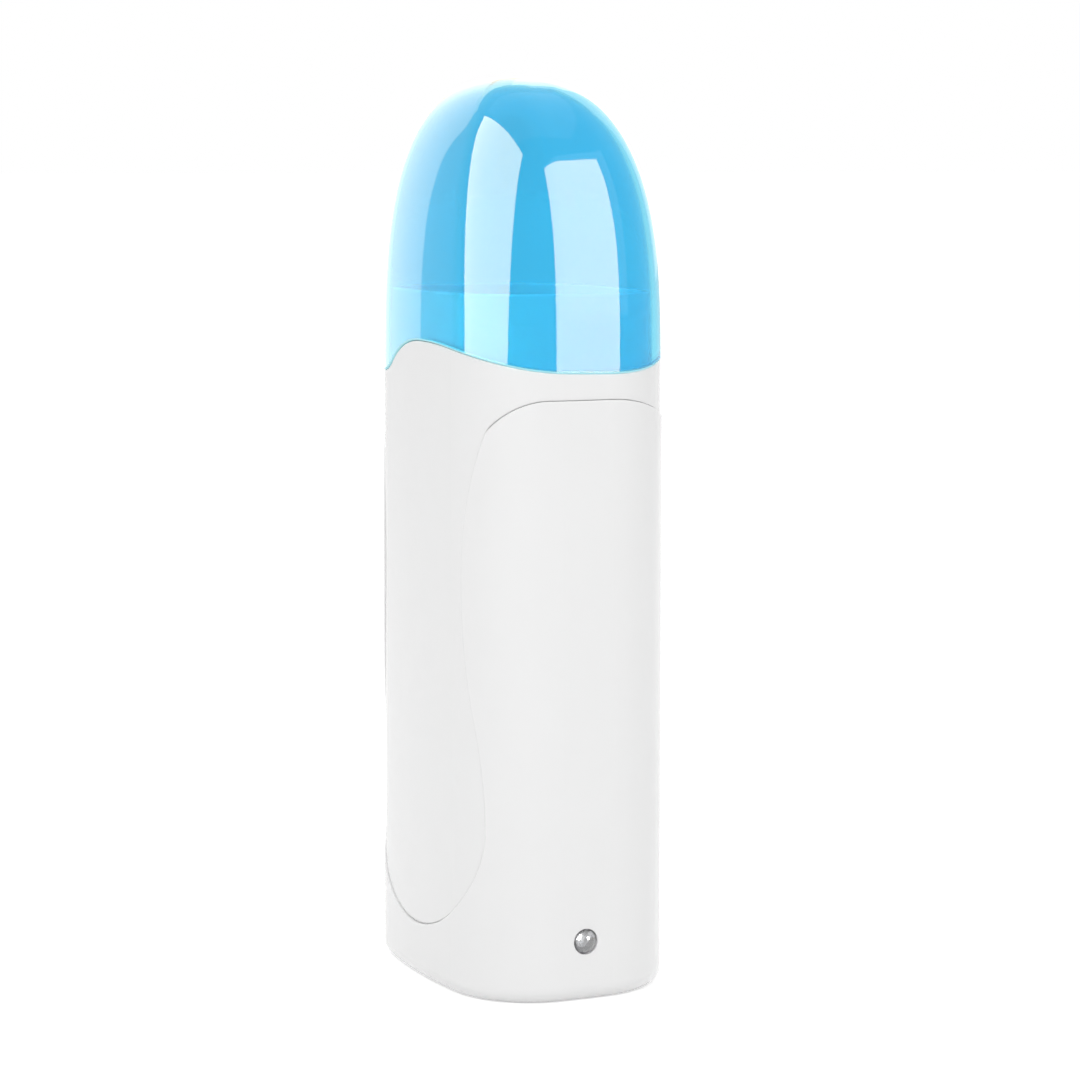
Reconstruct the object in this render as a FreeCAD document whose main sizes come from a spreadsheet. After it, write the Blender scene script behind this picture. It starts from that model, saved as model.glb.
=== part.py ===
import FreeCAD, Part
import math
import os

import Sketcher

# Hand-held roll-on wax heater.  Frame: +Z up, origin at the bottom centre, X across the wide
# face, Y front to back with the wide front face at -Y.  Millimetres.
# Two outer mouldings meet along an S-shaped line: the front housing (neck band and front bib)
# and the grip shell (sides, back and base band).  A translucent cap lifts off the neck collar.
# Inside, a liner holds the cartridge against an aluminium plate that two ceramic stones heat.

os.makedirs("parts", exist_ok=True)
doc = FreeCAD.newDocument("roll_on_wax_heater")
Vector = FreeCAD.Vector
Constraint = Sketcher.Constraint

# ---------------------------------------------------------------- driving dimensions
SIZES = [
    # the crowned rounded rectangle that every level section follows
    ("body_width", 66.0), ("body_depth", 48.0), ("corner_radius", 18.5),
    ("face_radius", 134.0), ("side_radius", 126.0),
    # outer mouldings: an inset is a distance inwards from that section, and the overshoot is
    # how far a cut reaches past what it trims
    ("overshoot", 4.0), ("shell_wall", 2.0), ("front_inset", 0.4), ("front_wall", 2.6), ("base_round", 3.2),
    ("seam_gap", 0.15), ("lip_gap", 0.1), ("lip_reach", 3.0), ("seam_round", 0.25),
    # top edge of the grip shell, seen from the side
    ("grip_top", 120.1), ("grip_front_round", 12.0), ("grip_front_inset", 3.5),
    ("grip_back_round", 30.0), ("grip_back_inset", 19.0),
    # front bib, seen from the front
    ("bib_bottom", 11.5), ("bib_heel_extra", 7.3), ("bib_hip_offset", 3.4),
    ("bib_hip_inset", 7.6), ("bib_flank_radius", 105.0), ("bib_waist_inset", 12.9),
    ("bib_waist_height", 84.0), ("bib_chest_radius", 85.0),
    # line where the cap meets the housing, seen from the front
    ("line_peak_x", 2.5), ("line_peak_height", 130.9), ("line_fall_radius", 92.0),
    ("line_brow_radius", 27.0), ("line_dip_radius", 12.0), ("line_dip_height", 123.7),
    ("line_back_drop", 1.2),
    # neck collar under the cap
    ("collar_top", 141.0), ("collar_inset", 2.6), ("collar_bore_inset", 4.1),
    ("collar_ledge_inset", 4.7), ("collar_ledge_depth", 4.4), ("collar_height", 23.0),
    ("collar_round", 0.5),
    # cap
    ("cap_inset", 0.2), ("cap_wall", 1.8), ("cap_top", 184.0), ("cap_spring", 122.0),
    ("cap_side_power", 3.1), ("cap_crown_power", 2.5), ("cap_lean", 1.5), ("cap_gap", 0.3),
    # cartridge liner
    ("well_inset", 7.0), ("well_wall", 1.2), ("well_shift", 0.8), ("well_floor", 27.6),
    ("well_floor_wall", 1.6), ("flange_thickness", 1.8), ("flange_gap", 0.2),
    ("mouth_chamfer", 0.8), ("post_radius", 2.4), ("hole_gap", 0.05), ("pilot_spare", 1.0),
    # heating plate and its window in the liner
    ("plate_width", 34.0), ("plate_low", 38.0), ("plate_high", 104.0), ("plate_inset", 6.0),
    ("plate_overlap", 2.5), ("window_gap", 0.2),
    # heating pack behind the plate
    ("pack_low", 43.0), ("pack_high", 99.0), ("film_width", 19.0), ("film_thickness", 0.15),
    ("electrode_width", 16.0), ("electrode_thickness", 0.3), ("stone_height", 24.0),
    ("stone_thickness", 2.0), ("stone_spacing", 27.0), ("mica_thickness", 0.2),
    ("tab_width", 4.0), ("tab_drop", 7.0), ("tab_x", 5.0),
    ("clamp_thickness", 0.5), ("clamp_height", 8.0), ("clamp_crown_half", 9.5),
    ("clamp_foot_start", 11.5), ("clamp_foot_end", 18.5), ("clamp_screw_x", 15.0),
    ("clamp_screw_length", 2.6), ("clamp_head_height", 1.0), ("clamp_head_radius", 1.9),
    ("head_round", 0.3), ("cross_width", 0.6), ("cross_depth", 0.5), ("cross_share", 0.6),
    # cartridge spring
    ("spring_low", 52.0), ("spring_high", 108.0), ("spring_bow", 2.0), ("spring_width", 10.0),
    ("spring_thickness", 0.4), ("spring_tab", 9.0), ("spring_overlap", 0.3),
    ("spring_stand", 0.12), ("rivet_radius", 1.5),
    ("rivet_head_radius", 2.6), ("rivet_head_height", 0.6),
    # base cover and mains inlet
    ("cover_inset", 5.2), ("cover_recess", 0.4), ("cover_thickness", 2.0),
    ("cover_chamfer", 0.3),
    ("opening_inset", 5.0), ("ledge_inset", 6.6), ("ledge_thickness", 1.6),
    ("inlet_length", 14.6), ("inlet_width", 8.6), ("inlet_wall", 1.5), ("inlet_depth", 12.4),
    ("inlet_end_wall", 1.6), ("pin_radius", 1.2), ("pin_pitch", 8.6), ("pin_reach", 8.8),
    ("pin_tail", 5.0), ("pin_nose", 0.4), ("pin_nose_length", 0.8), ("pin_neck", 0.5),
    ("pin_neck_radius", 1.0), ("pin_flange_radius", 1.9), ("pin_flange_height", 0.8),
    ("post_side_inset", 20.0), ("post_front_inset", 10.0), ("post_back_inset", 10.6),
    ("post_top", 24.0), ("web_low", 17.0), ("web_thickness", 2.0),
    ("web_bite", 0.2),
    ("screw_head_radius", 2.4), ("screw_head_height", 1.0), ("screw_radius", 0.95),
    ("screw_length", 10.0), ("screw_gap", 0.2),
    # indicator lamp in the narrow side
    ("led_radius", 2.5), ("led_height", 12.2), ("led_y", -0.6), ("led_gap", 0.1),
    ("led_proud", 0.6), ("led_length", 8.6), ("led_rim_radius", 2.9),
    ("led_rim_length", 1.0), ("led_lead_pitch", 2.54), ("led_lead_radius", 0.25),
    ("led_lead_length", 3.0), ("led_dome", 2.2), ("lead_stub", 0.8), ("board_width", 14.0),
    ("board_height", 12.0), ("board_thickness", 1.6), ("part_stand", 0.1), ("part_offset", 3.2),
    ("part_lead_radius", 0.3), ("part_lead_length", 1.4), ("part_lead_bend", 0.6),
    ("resistor_radius", 1.15), ("resistor_length", 6.3),
    ("diode_radius", 1.0), ("diode_length", 4.2),
    # ribs on the base cover that hold the lamp board
    ("cradle_wall", 1.2), ("cradle_hold", 2.0),
    # thermal fuse, wires and their connectors
    ("fuse_radius", 1.7), ("fuse_length", 8.6), ("fuse_lead_radius", 0.4),
    ("fuse_lead_length", 1.6), ("lug_radius", 1.8), ("lug_rise", 0.6), ("lug_cap", 1.0),
    ("wire_radius", 0.8), ("wire_bend", 2.0), ("wire_straight", 0.6), ("wire_end_rise", 2.6),
    ("lamp_wire_radius", 0.5), ("lamp_wire_bend", 1.5), ("lamp_wire_offset", 4.9),
    ("lamp_wire_drop", 1.0),
    ("tab_lug_height", 2.4), ("tab_lug_half", 1.6), ("tab_lug_wall", 0.3),
]
sheet = doc.addObject("Spreadsheet::Sheet", "Sizes")
for row, (alias, number) in enumerate(SIZES, start=1):
    sheet.set("A%d" % row, alias)
    sheet.set("B%d" % row, str(number))
    sheet.setAlias("B%d" % row, alias)
doc.recompute()


def now(expression):
    """What an expression in the sheet's aliases comes to, for a first position."""
    return float(sheet.evalExpression(expression))


# Heights and places that several pieces share
COVER_TOP = "(Sizes.cover_recess + Sizes.cover_thickness)"
FLOOR_TOP = "(Sizes.cover_recess + Sizes.cover_thickness + Sizes.ledge_thickness)"
LEDGE_TOP = "(Sizes.collar_top - Sizes.collar_ledge_depth)"
FLANGE_TOP = "(Sizes.collar_top - Sizes.collar_ledge_depth + Sizes.flange_thickness)"
WELL_OUTSIDE = "(Sizes.well_inset - Sizes.well_wall)"
WELL_BOTTOM = "(Sizes.well_floor - Sizes.well_floor_wall)"
WELL_FRONT_Y = "(-Sizes.body_depth / 2 + Sizes.well_inset - Sizes.well_shift)"
FRONT_SKIN_BACK = "(Sizes.front_inset + Sizes.front_wall)"
PACK_MIDDLE = "((Sizes.pack_low + Sizes.pack_high) / 2)"
PLATE_BACK = "(Sizes.body_depth / 2 - Sizes.plate_inset)"
FILM_BACK = "(%s + Sizes.film_thickness)" % PLATE_BACK
INNER_ELECTRODE_BACK = "(%s + Sizes.electrode_thickness)" % FILM_BACK
STONE_BACK = "(%s + Sizes.stone_thickness)" % INNER_ELECTRODE_BACK
OUTER_ELECTRODE_BACK = "(%s + Sizes.electrode_thickness)" % STONE_BACK
MICA_BACK = "(%s + Sizes.mica_thickness)" % OUTER_ELECTRODE_BACK
THROUGH_X = "(Sizes.body_width / 2 + Sizes.overshoot)"
THROUGH_Y = "(Sizes.body_depth / 2 + Sizes.overshoot)"
GRIP_FRONT_Y = "(Sizes.body_depth / 2 - Sizes.grip_front_inset)"
GRIP_BACK_Y = "(Sizes.body_depth / 2 - Sizes.grip_back_inset)"
HIP_HALF = "(Sizes.body_width / 2 - Sizes.bib_hip_inset)"
HIP_RADIUS = "(%s - Sizes.bib_hip_offset)" % HIP_HALF
HEEL_RADIUS = "(%s + Sizes.bib_heel_extra)" % HIP_RADIUS
WAIST_HALF = "(Sizes.body_width / 2 - Sizes.bib_waist_inset)"
POST_X = "(Sizes.body_width / 2 - Sizes.post_side_inset)"
POST_FRONT_Y = "(Sizes.post_front_inset - Sizes.body_depth / 2)"
POST_BACK_Y = "(Sizes.body_depth / 2 - Sizes.post_back_inset)"

# How near, in millimetres, an edge must lie to a surface to be picked as being on it
TOUCH = 0.02


# ---------------------------------------------------------------- sketch helpers
def dimension(sketch, kind, *where):
    """Add a dimension whose last argument is an expression in the sheet's aliases."""
    expression = where[-1]
    index = sketch.addConstraint(Constraint(kind, *where[:-1], now(expression)))
    sketch.setExpression("Constraints[%d]" % index, expression)


def arc(sketch, x, y, radius, start, end):
    circle = Part.Circle(Vector(x, y, 0), Vector(0, 0, 1), radius)
    return sketch.addGeometry(Part.ArcOfCircle(circle, start, end), False)


def line(sketch, start, end):
    return sketch.addGeometry(Part.LineSegment(Vector(*start, 0), Vector(*end, 0)), False)


def corner_centre():
    """Centre of the corner arc that touches the face arc and the side arc from inside."""
    half_width, half_depth = now("Sizes.body_width / 2"), now("Sizes.body_depth / 2")
    corner, face, side = now("Sizes.corner_radius"), now("Sizes.face_radius"), now("Sizes.side_radius")
    x, y = half_width - corner, half_depth - corner
    for _ in range(30):
        to_face, to_side = y + face - half_depth, x + side - half_width
        face_reach, side_reach = math.hypot(x, to_face), math.hypot(to_side, y)
        face_miss, side_miss = face_reach - face + corner, side_reach - side + corner
        a, b, c, d = x / face_reach, to_face / face_reach, to_side / side_reach, y / side_reach
        x -= (face_miss * d - side_miss * b) / (a * d - b * c)
        y -= (a * side_miss - c * face_miss) / (a * d - b * c)
    return x, y


def crowned_ring(sketch, inset, scale="1"):
    """The level section: eight tangent arcs, set in by inset and shrunk by scale."""
    k, d = now(scale), now(inset)
    half_width, half_depth = now("Sizes.body_width / 2"), now("Sizes.body_depth / 2")
    corner, face, side = now("Sizes.corner_radius"), now("Sizes.face_radius"), now("Sizes.side_radius")
    x, y = corner_centre()
    low = math.atan2(y, x + side - half_width)
    high = math.atan2(y + face - half_depth, x)
    turn = math.pi
    for cx, cy, radius, start, end in (
            (half_width - side, 0, side, -low, low),
            (x, y, corner, low, high),
            (0, half_depth - face, face, high, turn - high),
            (-x, y, corner, turn - high, turn - low),
            (side - half_width, 0, side, turn - low, turn + low),
            (-x, -y, corner, turn + low, turn + high),
            (0, face - half_depth, face, turn + high, 2 * turn - high),
            (x, -y, corner, 2 * turn - high, 2 * turn - low)):
        arc(sketch, cx * k, cy * k, (radius - d) * k, start, end)
    for i in range(8):
        sketch.addConstraint(Constraint("Tangent", i, 2, (i + 1) % 8, 1))
    for first, second in ((1, 3), (1, 5), (1, 7), (0, 4), (2, 6)):
        sketch.addConstraint(Constraint("Equal", first, second))
    for i, axis in ((2, -2), (6, -2), (0, -1), (4, -1)):
        sketch.addConstraint(Constraint("PointOnObject", i, 3, axis))
    face_offset = "(Sizes.face_radius - Sizes.body_depth / 2) * (%s)" % scale
    side_offset = "(Sizes.side_radius - Sizes.body_width / 2) * (%s)" % scale
    dimension(sketch, "DistanceY", 2, 3, -1, 1, face_offset)
    dimension(sketch, "DistanceY", -1, 1, 6, 3, face_offset)
    dimension(sketch, "DistanceX", 0, 3, -1, 1, side_offset)
    dimension(sketch, "DistanceX", -1, 1, 4, 3, side_offset)
    dimension(sketch, "Radius", 1, "(Sizes.corner_radius - (%s)) * (%s)" % (inset, scale))
    dimension(sketch, "Radius", 0, "(Sizes.side_radius - (%s)) * (%s)" % (inset, scale))
    dimension(sketch, "Radius", 2, "(Sizes.face_radius - (%s)) * (%s)" % (inset, scale))


def polygon(sketch, points):
    """A closed outline of straight lines through points given as pairs of expressions."""
    places = [(now(px), now(py)) for px, py in points]
    count = len(points)
    for i in range(count):
        line(sketch, places[i], places[(i + 1) % count])
    for i in range(count):
        sketch.addConstraint(Constraint("Coincident", i, 2, (i + 1) % count, 1))
        dimension(sketch, "DistanceX", -1, 1, i, 1, points[i][0])
        dimension(sketch, "DistanceY", -1, 1, i, 1, points[i][1])


def rectangle(sketch, left, right, bottom, top):
    polygon(sketch, [(left, bottom), (right, bottom), (right, top), (left, top)])


def circle(sketch, x, y, radius):
    index = sketch.addGeometry(
        Part.Circle(Vector(now(x), now(y), 0), Vector(0, 0, 1), now(radius)), False)
    dimension(sketch, "DistanceX", -1, 1, index, 3, x)
    dimension(sketch, "DistanceY", -1, 1, index, 3, y)
    dimension(sketch, "Radius", index, radius)


def slot(sketch, length, width):
    """A round-ended slot along X, centred on the origin."""
    half = now("(%s - (%s)) / 2" % (length, width))
    radius = now("(%s) / 2" % width)
    right = arc(sketch, half, 0, radius, -math.pi / 2, math.pi / 2)
    top = line(sketch, (half, radius), (-half, radius))
    left = arc(sketch, -half, 0, radius, math.pi / 2, 3 * math.pi / 2)
    bottom = line(sketch, (-half, -radius), (half, -radius))
    for first, second in ((right, top), (top, left), (left, bottom), (bottom, right)):
        sketch.addConstraint(Constraint("Tangent", first, 2, second, 1))
    for level in (top, bottom):
        sketch.addConstraint(Constraint("Horizontal", level))
    sketch.addConstraint(Constraint("PointOnObject", right, 3, -1))
    dimension(sketch, "Radius", right, "(%s) / 2" % width)
    dimension(sketch, "DistanceX", -1, 1, right, 3, "(%s - (%s)) / 2" % (length, width))
    dimension(sketch, "DistanceX", left, 3, -1, 1, "(%s - (%s)) / 2" % (length, width))


def bib_outline(sketch, grow):
    """Front bib in X and Z: heel, hips, flanks, waist and chest as tangent arcs."""
    g = now(grow)
    heel, hip = now(HEEL_RADIUS), now(HIP_RADIUS)
    flank, chest = now("Sizes.bib_flank_radius"), now("Sizes.bib_chest_radius")
    hip_half, waist_half = now(HIP_HALF), now(WAIST_HALF)
    waist_z, top = now("Sizes.bib_waist_height"), now("Sizes.grip_top + Sizes.overshoot")
    heel_z = now("Sizes.bib_bottom") + heel
    hip_z = heel_z - math.sqrt((heel - hip) ** 2 - (hip_half - hip) ** 2)
    narrowing, rise = hip_half - waist_half, waist_z - hip_z
    waist = (narrowing ** 2 + rise ** 2) / (2 * narrowing) - flank
    heel_turn = math.atan2(hip_z - heel_z, hip_half - hip)
    lean = math.atan2(rise, waist_half + waist - hip_half + flank)
    rise_turn = math.asin((top - waist_z) / (chest - g))
    half_turn = math.pi
    arcs = [(0, heel_z, heel + g, -half_turn - heel_turn, heel_turn)]
    for side in (1, -1):
        for x, z, radius, start, end in (
                (hip_half - hip, hip_z, hip + g, heel_turn, 0),
                (hip_half - flank, hip_z, flank + g, 0, lean),
                (waist_half + waist, waist_z, waist - g, half_turn, half_turn + lean),
                (waist_half + chest, waist_z, chest - g, half_turn - rise_turn, half_turn)):
            if side < 0:
                x, start, end = -x, half_turn - end, half_turn - start
            arcs.append((x, z, radius, start, end))
    for x, z, radius, start, end in arcs:
        arc(sketch, x, z, radius, start, end)
    reach = waist_half + chest - (chest - g) * math.cos(rise_turn)
    lid = line(sketch, (reach, top), (-reach, top))
    # ends: 1 is where an arc starts and 2 where it ends, counter-clockwise
    for joint in ((0, 2, 1, 1), (1, 2, 2, 1), (2, 2, 3, 2), (3, 1, 4, 2),
                  (0, 1, 5, 2), (5, 1, 6, 2), (6, 1, 7, 1), (7, 2, 8, 1)):
        sketch.addConstraint(Constraint("Tangent", *joint))
    sketch.addConstraint(Constraint("Coincident", 4, 1, lid, 1))
    sketch.addConstraint(Constraint("Coincident", 8, 2, lid, 2))
    sketch.addConstraint(Constraint("Horizontal", lid))
    for first, second in ((1, 5), (2, 6), (4, 8)):
        sketch.addConstraint(Constraint("Equal", first, second))
    for hip_arc, flank_arc in ((1, 2), (5, 6)):
        sketch.addConstraint(Constraint("Horizontal", hip_arc, 3, flank_arc, 3))
    for waist_arc, chest_arc in ((3, 4), (7, 8)):
        sketch.addConstraint(Constraint("Horizontal", waist_arc, 3, chest_arc, 3))
    sketch.addConstraint(Constraint("PointOnObject", 0, 3, -2))
    dimension(sketch, "DistanceY", -1, 1, 0, 3, "Sizes.bib_bottom + " + HEEL_RADIUS)
    dimension(sketch, "Radius", 0, "%s + (%s)" % (HEEL_RADIUS, grow))
    dimension(sketch, "Radius", 1, "%s + (%s)" % (HIP_RADIUS, grow))
    dimension(sketch, "Radius", 2, "Sizes.bib_flank_radius + (%s)" % grow)
    dimension(sketch, "Radius", 4, "Sizes.bib_chest_radius - (%s)" % grow)
    dimension(sketch, "DistanceX", 2, 3, -1, 1, "Sizes.bib_flank_radius - " + HIP_HALF)
    dimension(sketch, "DistanceX", -1, 1, 6, 3, "Sizes.bib_flank_radius - " + HIP_HALF)
    dimension(sketch, "DistanceX", -1, 1, 4, 3, WAIST_HALF + " + Sizes.bib_chest_radius")
    dimension(sketch, "DistanceX", 8, 3, -1, 1, WAIST_HALF + " + Sizes.bib_chest_radius")
    dimension(sketch, "DistanceY", -1, 1, 4, 3, "Sizes.bib_waist_height")
    dimension(sketch, "DistanceY", -1, 1, 8, 3, "Sizes.bib_waist_height")
    dimension(sketch, "DistanceY", -1, 1, lid, 1, "Sizes.grip_top + Sizes.overshoot")


def shoulder_outline(sketch, grow):
    """All that lies above the grip shell's top edge, in Y and Z: it rounds down to the front
    with a tight arc and to the back with a wide one."""
    front_radius = now("Sizes.grip_front_round - (%s)" % grow)
    back_radius = now("Sizes.grip_back_round - (%s)" % grow)
    top = now("Sizes.grip_top - (%s)" % grow)
    front_y = now("Sizes.grip_front_round - " + GRIP_FRONT_Y)
    low = now("Sizes.grip_top - Sizes.grip_front_round")
    back_y, back_z = now(GRIP_BACK_Y), now("Sizes.grip_top - Sizes.grip_back_round")
    far, high = now(THROUGH_Y), now("Sizes.line_peak_height + Sizes.overshoot")
    far_turn = math.acos((far - back_y) / back_radius)
    far_z = back_z + back_radius * math.sin(far_turn)
    front_arc = arc(sketch, front_y, low, front_radius, math.pi / 2, math.pi)
    back_arc = arc(sketch, back_y, back_z, back_radius, far_turn, math.pi / 2)
    ridge = line(sketch, (back_y, top), (front_y, top))
    step = line(sketch, (front_y - front_radius, low), (-far, low))
    front_side = line(sketch, (-far, low), (-far, high))
    lid = line(sketch, (-far, high), (far, high))
    back_side = line(sketch, (far, high), (far, far_z))
    sketch.addConstraint(Constraint("Tangent", front_arc, 1, ridge, 2))
    sketch.addConstraint(Constraint("Tangent", back_arc, 2, ridge, 1))
    for first, second in (((front_arc, 2), (step, 1)), ((step, 2), (front_side, 1)),
                          ((front_side, 2), (lid, 1)), ((lid, 2), (back_side, 1)),
                          ((back_side, 2), (back_arc, 1))):
        sketch.addConstraint(Constraint("Coincident", *first, *second))
    for level in (ridge, step, lid):
        sketch.addConstraint(Constraint("Horizontal", level))
    for upright in (front_side, back_side):
        sketch.addConstraint(Constraint("Vertical", upright))
    dimension(sketch, "Radius", front_arc, "Sizes.grip_front_round - (%s)" % grow)
    dimension(sketch, "Radius", back_arc, "Sizes.grip_back_round - (%s)" % grow)
    dimension(sketch, "DistanceX", front_arc, 3, -1, 1,
              GRIP_FRONT_Y + " - Sizes.grip_front_round")
    dimension(sketch, "DistanceY", -1, 1, front_arc, 3, "Sizes.grip_top - Sizes.grip_front_round")
    dimension(sketch, "DistanceX", -1, 1, back_arc, 3, GRIP_BACK_Y)
    dimension(sketch, "DistanceY", -1, 1, step, 1, "Sizes.grip_top - Sizes.grip_front_round")
    dimension(sketch, "DistanceX", front_side, 1, -1, 1, THROUGH_Y)
    dimension(sketch, "DistanceY", -1, 1, lid, 1, "Sizes.line_peak_height + Sizes.overshoot")
    dimension(sketch, "DistanceX", -1, 1, back_side, 1, THROUGH_Y)


def cap_line_outline(sketch, grow):
    """All that lies above the line between cap and housing, in X and Z: a long fall to one
    side of the peak, and a short brow and a dip to the other."""
    fall = now("Sizes.line_fall_radius - (%s)" % grow)
    brow = now("Sizes.line_brow_radius - (%s)" % grow)
    dip = now("Sizes.line_dip_radius + (%s)" % grow)
    peak_x, far = now("Sizes.line_peak_x"), now(THROUGH_X)
    fall_z = now("Sizes.line_peak_height - Sizes.line_fall_radius")
    brow_z = now("Sizes.line_peak_height - Sizes.line_brow_radius")
    dip_z = now("Sizes.line_dip_height + Sizes.line_dip_radius")
    dip_x = peak_x - math.sqrt((brow + dip) ** 2 - (dip_z - brow_z) ** 2)
    turn = math.atan2(dip_z - brow_z, dip_x - peak_x)
    fall_start = math.acos((far - peak_x) / fall)
    high = now("Sizes.cap_top + Sizes.overshoot")
    fall_arc = arc(sketch, peak_x, fall_z, fall, fall_start, math.pi / 2)
    brow_arc = arc(sketch, peak_x, brow_z, brow, math.pi / 2, turn)
    dip_arc = arc(sketch, dip_x, dip_z, dip, 3 * math.pi / 2, math.pi + turn)
    trough = line(sketch, (dip_x, dip_z - dip), (-far, dip_z - dip))
    left = line(sketch, (-far, dip_z - dip), (-far, high))
    lid = line(sketch, (-far, high), (far, high))
    right = line(sketch, (far, high), (far, fall_z + fall * math.sin(fall_start)))
    for joint in ((fall_arc, 2, brow_arc, 1), (brow_arc, 2, dip_arc, 2), (dip_arc, 1, trough, 1)):
        sketch.addConstraint(Constraint("Tangent", *joint))
    for joint in ((trough, 2, left, 1), (left, 2, lid, 1), (lid, 2, right, 1),
                  (right, 2, fall_arc, 1)):
        sketch.addConstraint(Constraint("Coincident", *joint))
    for level in (trough, lid):
        sketch.addConstraint(Constraint("Horizontal", level))
    for upright in (left, right):
        sketch.addConstraint(Constraint("Vertical", upright))
    sketch.addConstraint(Constraint("Vertical", fall_arc, 3, brow_arc, 3))
    dimension(sketch, "Radius", fall_arc, "Sizes.line_fall_radius - (%s)" % grow)
    dimension(sketch, "Radius", brow_arc, "Sizes.line_brow_radius - (%s)" % grow)
    dimension(sketch, "Radius", dip_arc, "Sizes.line_dip_radius + (%s)" % grow)
    dimension(sketch, "DistanceX", -1, 1, fall_arc, 3, "Sizes.line_peak_x")
    dimension(sketch, "DistanceY", -1, 1, fall_arc, 3,
              "Sizes.line_peak_height - Sizes.line_fall_radius")
    dimension(sketch, "DistanceY", -1, 1, trough, 1, "Sizes.line_dip_height - (%s)" % grow)
    dimension(sketch, "DistanceX", left, 1, -1, 1, THROUGH_X)
    dimension(sketch, "DistanceY", -1, 1, lid, 1, "Sizes.cap_top + Sizes.overshoot")
    dimension(sketch, "DistanceX", -1, 1, right, 1, THROUGH_X)


# ---------------------------------------------------------------- feature helpers
TURNS = {
    "level": FreeCAD.Rotation(),
    "front": FreeCAD.Rotation(Vector(1, 0, 0), 90),
    "side": FreeCAD.Rotation(Vector(1, 1, 1), 120),
}
ROLES = {"level": "XY_Plane", "front": "XZ_Plane", "side": "YZ_Plane"}


def new_body(name):
    body = doc.addObject("PartDesign::Body", name)
    doc.recompute()
    return body


def body_sketch(body, name, view, lift="0", shift="0"):
    """A sketch on one of the body's own planes; lift is along that plane's normal."""
    sketch = body.newObject("Sketcher::SketchObject", name)
    plane = next(f for f in body.Origin.OriginFeatures if f.Role == ROLES[view])
    sketch.AttachmentSupport = [(plane, "")]
    sketch.MapMode = "FlatFace"
    sketch.setExpression(".AttachmentOffset.Base.z", lift)
    sketch.setExpression(".AttachmentOffset.Base.y", shift)
    return sketch


def pad(body, sketch, name, length, reverse=False):
    feature = body.newObject("PartDesign::Pad", name)
    feature.Profile = sketch
    feature.Reversed = reverse
    feature.setExpression("Length", length)
    return feature


def pocket(body, sketch, name, length, reverse=False, midplane=False):
    """Cut along the sketch's normal, backwards unless reverse is set."""
    feature = body.newObject("PartDesign::Pocket", name)
    feature.Profile = sketch
    feature.Reversed = reverse
    feature.Midplane = midplane
    feature.setExpression("Length", length)
    return feature


def dress(body, kind, name, base, edges, prop, amount):
    """A fillet or chamfer on the edges of base that the test picks."""
    doc.recompute()
    names = ["Edge%d" % i for i, edge in enumerate(base.Shape.Edges, start=1) if edges(edge)]
    feature = body.newObject("PartDesign::" + kind, name)
    feature.Base = (base, names)
    feature.setExpression(prop, amount)
    return feature


def free_sketch(name, view, x="0", y="0", z="0"):
    """A sketch outside any body, turned to the level, front or side view."""
    sketch = doc.addObject("Sketcher::SketchObject", name)
    sketch.Placement = FreeCAD.Placement(Vector(now(x), now(y), now(z)), TURNS[view])
    for axis, place in (("x", x), ("y", y), ("z", z)):
        sketch.setExpression(".Placement.Base." + axis, place)
    return sketch


def extrude(name, sketch, forward, backward="0", direction=None):
    feature = doc.addObject("Part::Extrusion", name)
    feature.Base = sketch
    feature.DirMode = "Custom" if direction else "Normal"
    if direction:
        feature.Dir = Vector(*(now(part) for part in direction))
        for axis, part in zip("xyz", direction):
            feature.setExpression("Dir." + axis, part)
    feature.Solid = True
    feature.setExpression("LengthFwd", forward)
    feature.setExpression("LengthRev", backward)
    return feature


def prism(name, inset, low, high, shift="0"):
    """The crowned section, set in by inset, between two heights."""
    sketch = free_sketch(name + "_outline", "level", y=shift, z=low)
    crowned_ring(sketch, inset)
    return extrude(name, sketch, "(%s) - (%s)" % (high, low))


def boolean(kind, name, base, tool):
    """A cut or a common whose faces are left as they come, which keeps thin pieces sound."""
    feature = doc.addObject("Part::" + kind, name)
    feature.Base, feature.Tool = base, tool
    feature.Refine = False
    return feature


def cut(name, base, tool):
    return boolean("Cut", name, base, tool)


def common(name, base, tool):
    return boolean("Common", name, base, tool)


def fuse(name, shapes):
    feature = doc.addObject("Part::MultiFuse", name)
    feature.Shapes = shapes
    return feature


def tube(name, outside, inside, low, high):
    return cut(name, prism(name + "_outside", outside, low, high),
               prism(name + "_inside", inside, low, high))


def group(name, pieces):
    """Like pieces that share one node, as separate solids."""
    feature = doc.addObject("Part::Compound", name)
    feature.Links = pieces
    return feature


def block(name, low, high):
    """A box between two corners, each a triple of expressions."""
    box = doc.addObject("Part::Box", name)
    for prop, start, end in zip(("Length", "Width", "Height"), low, high):
        box.setExpression(prop, "(%s) - (%s)" % (end, start))
    for axis, start in zip("xyz", low):
        box.setExpression(".Placement.Base." + axis, start)
    return box


AIMS = {
    "+x": FreeCAD.Rotation(Vector(0, 1, 0), 90), "-x": FreeCAD.Rotation(Vector(0, 1, 0), -90),
    "+y": FreeCAD.Rotation(Vector(1, 0, 0), -90), "-y": FreeCAD.Rotation(Vector(1, 0, 0), 90),
    "+z": FreeCAD.Rotation(), "-z": FreeCAD.Rotation(Vector(1, 0, 0), 180),
}


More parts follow.
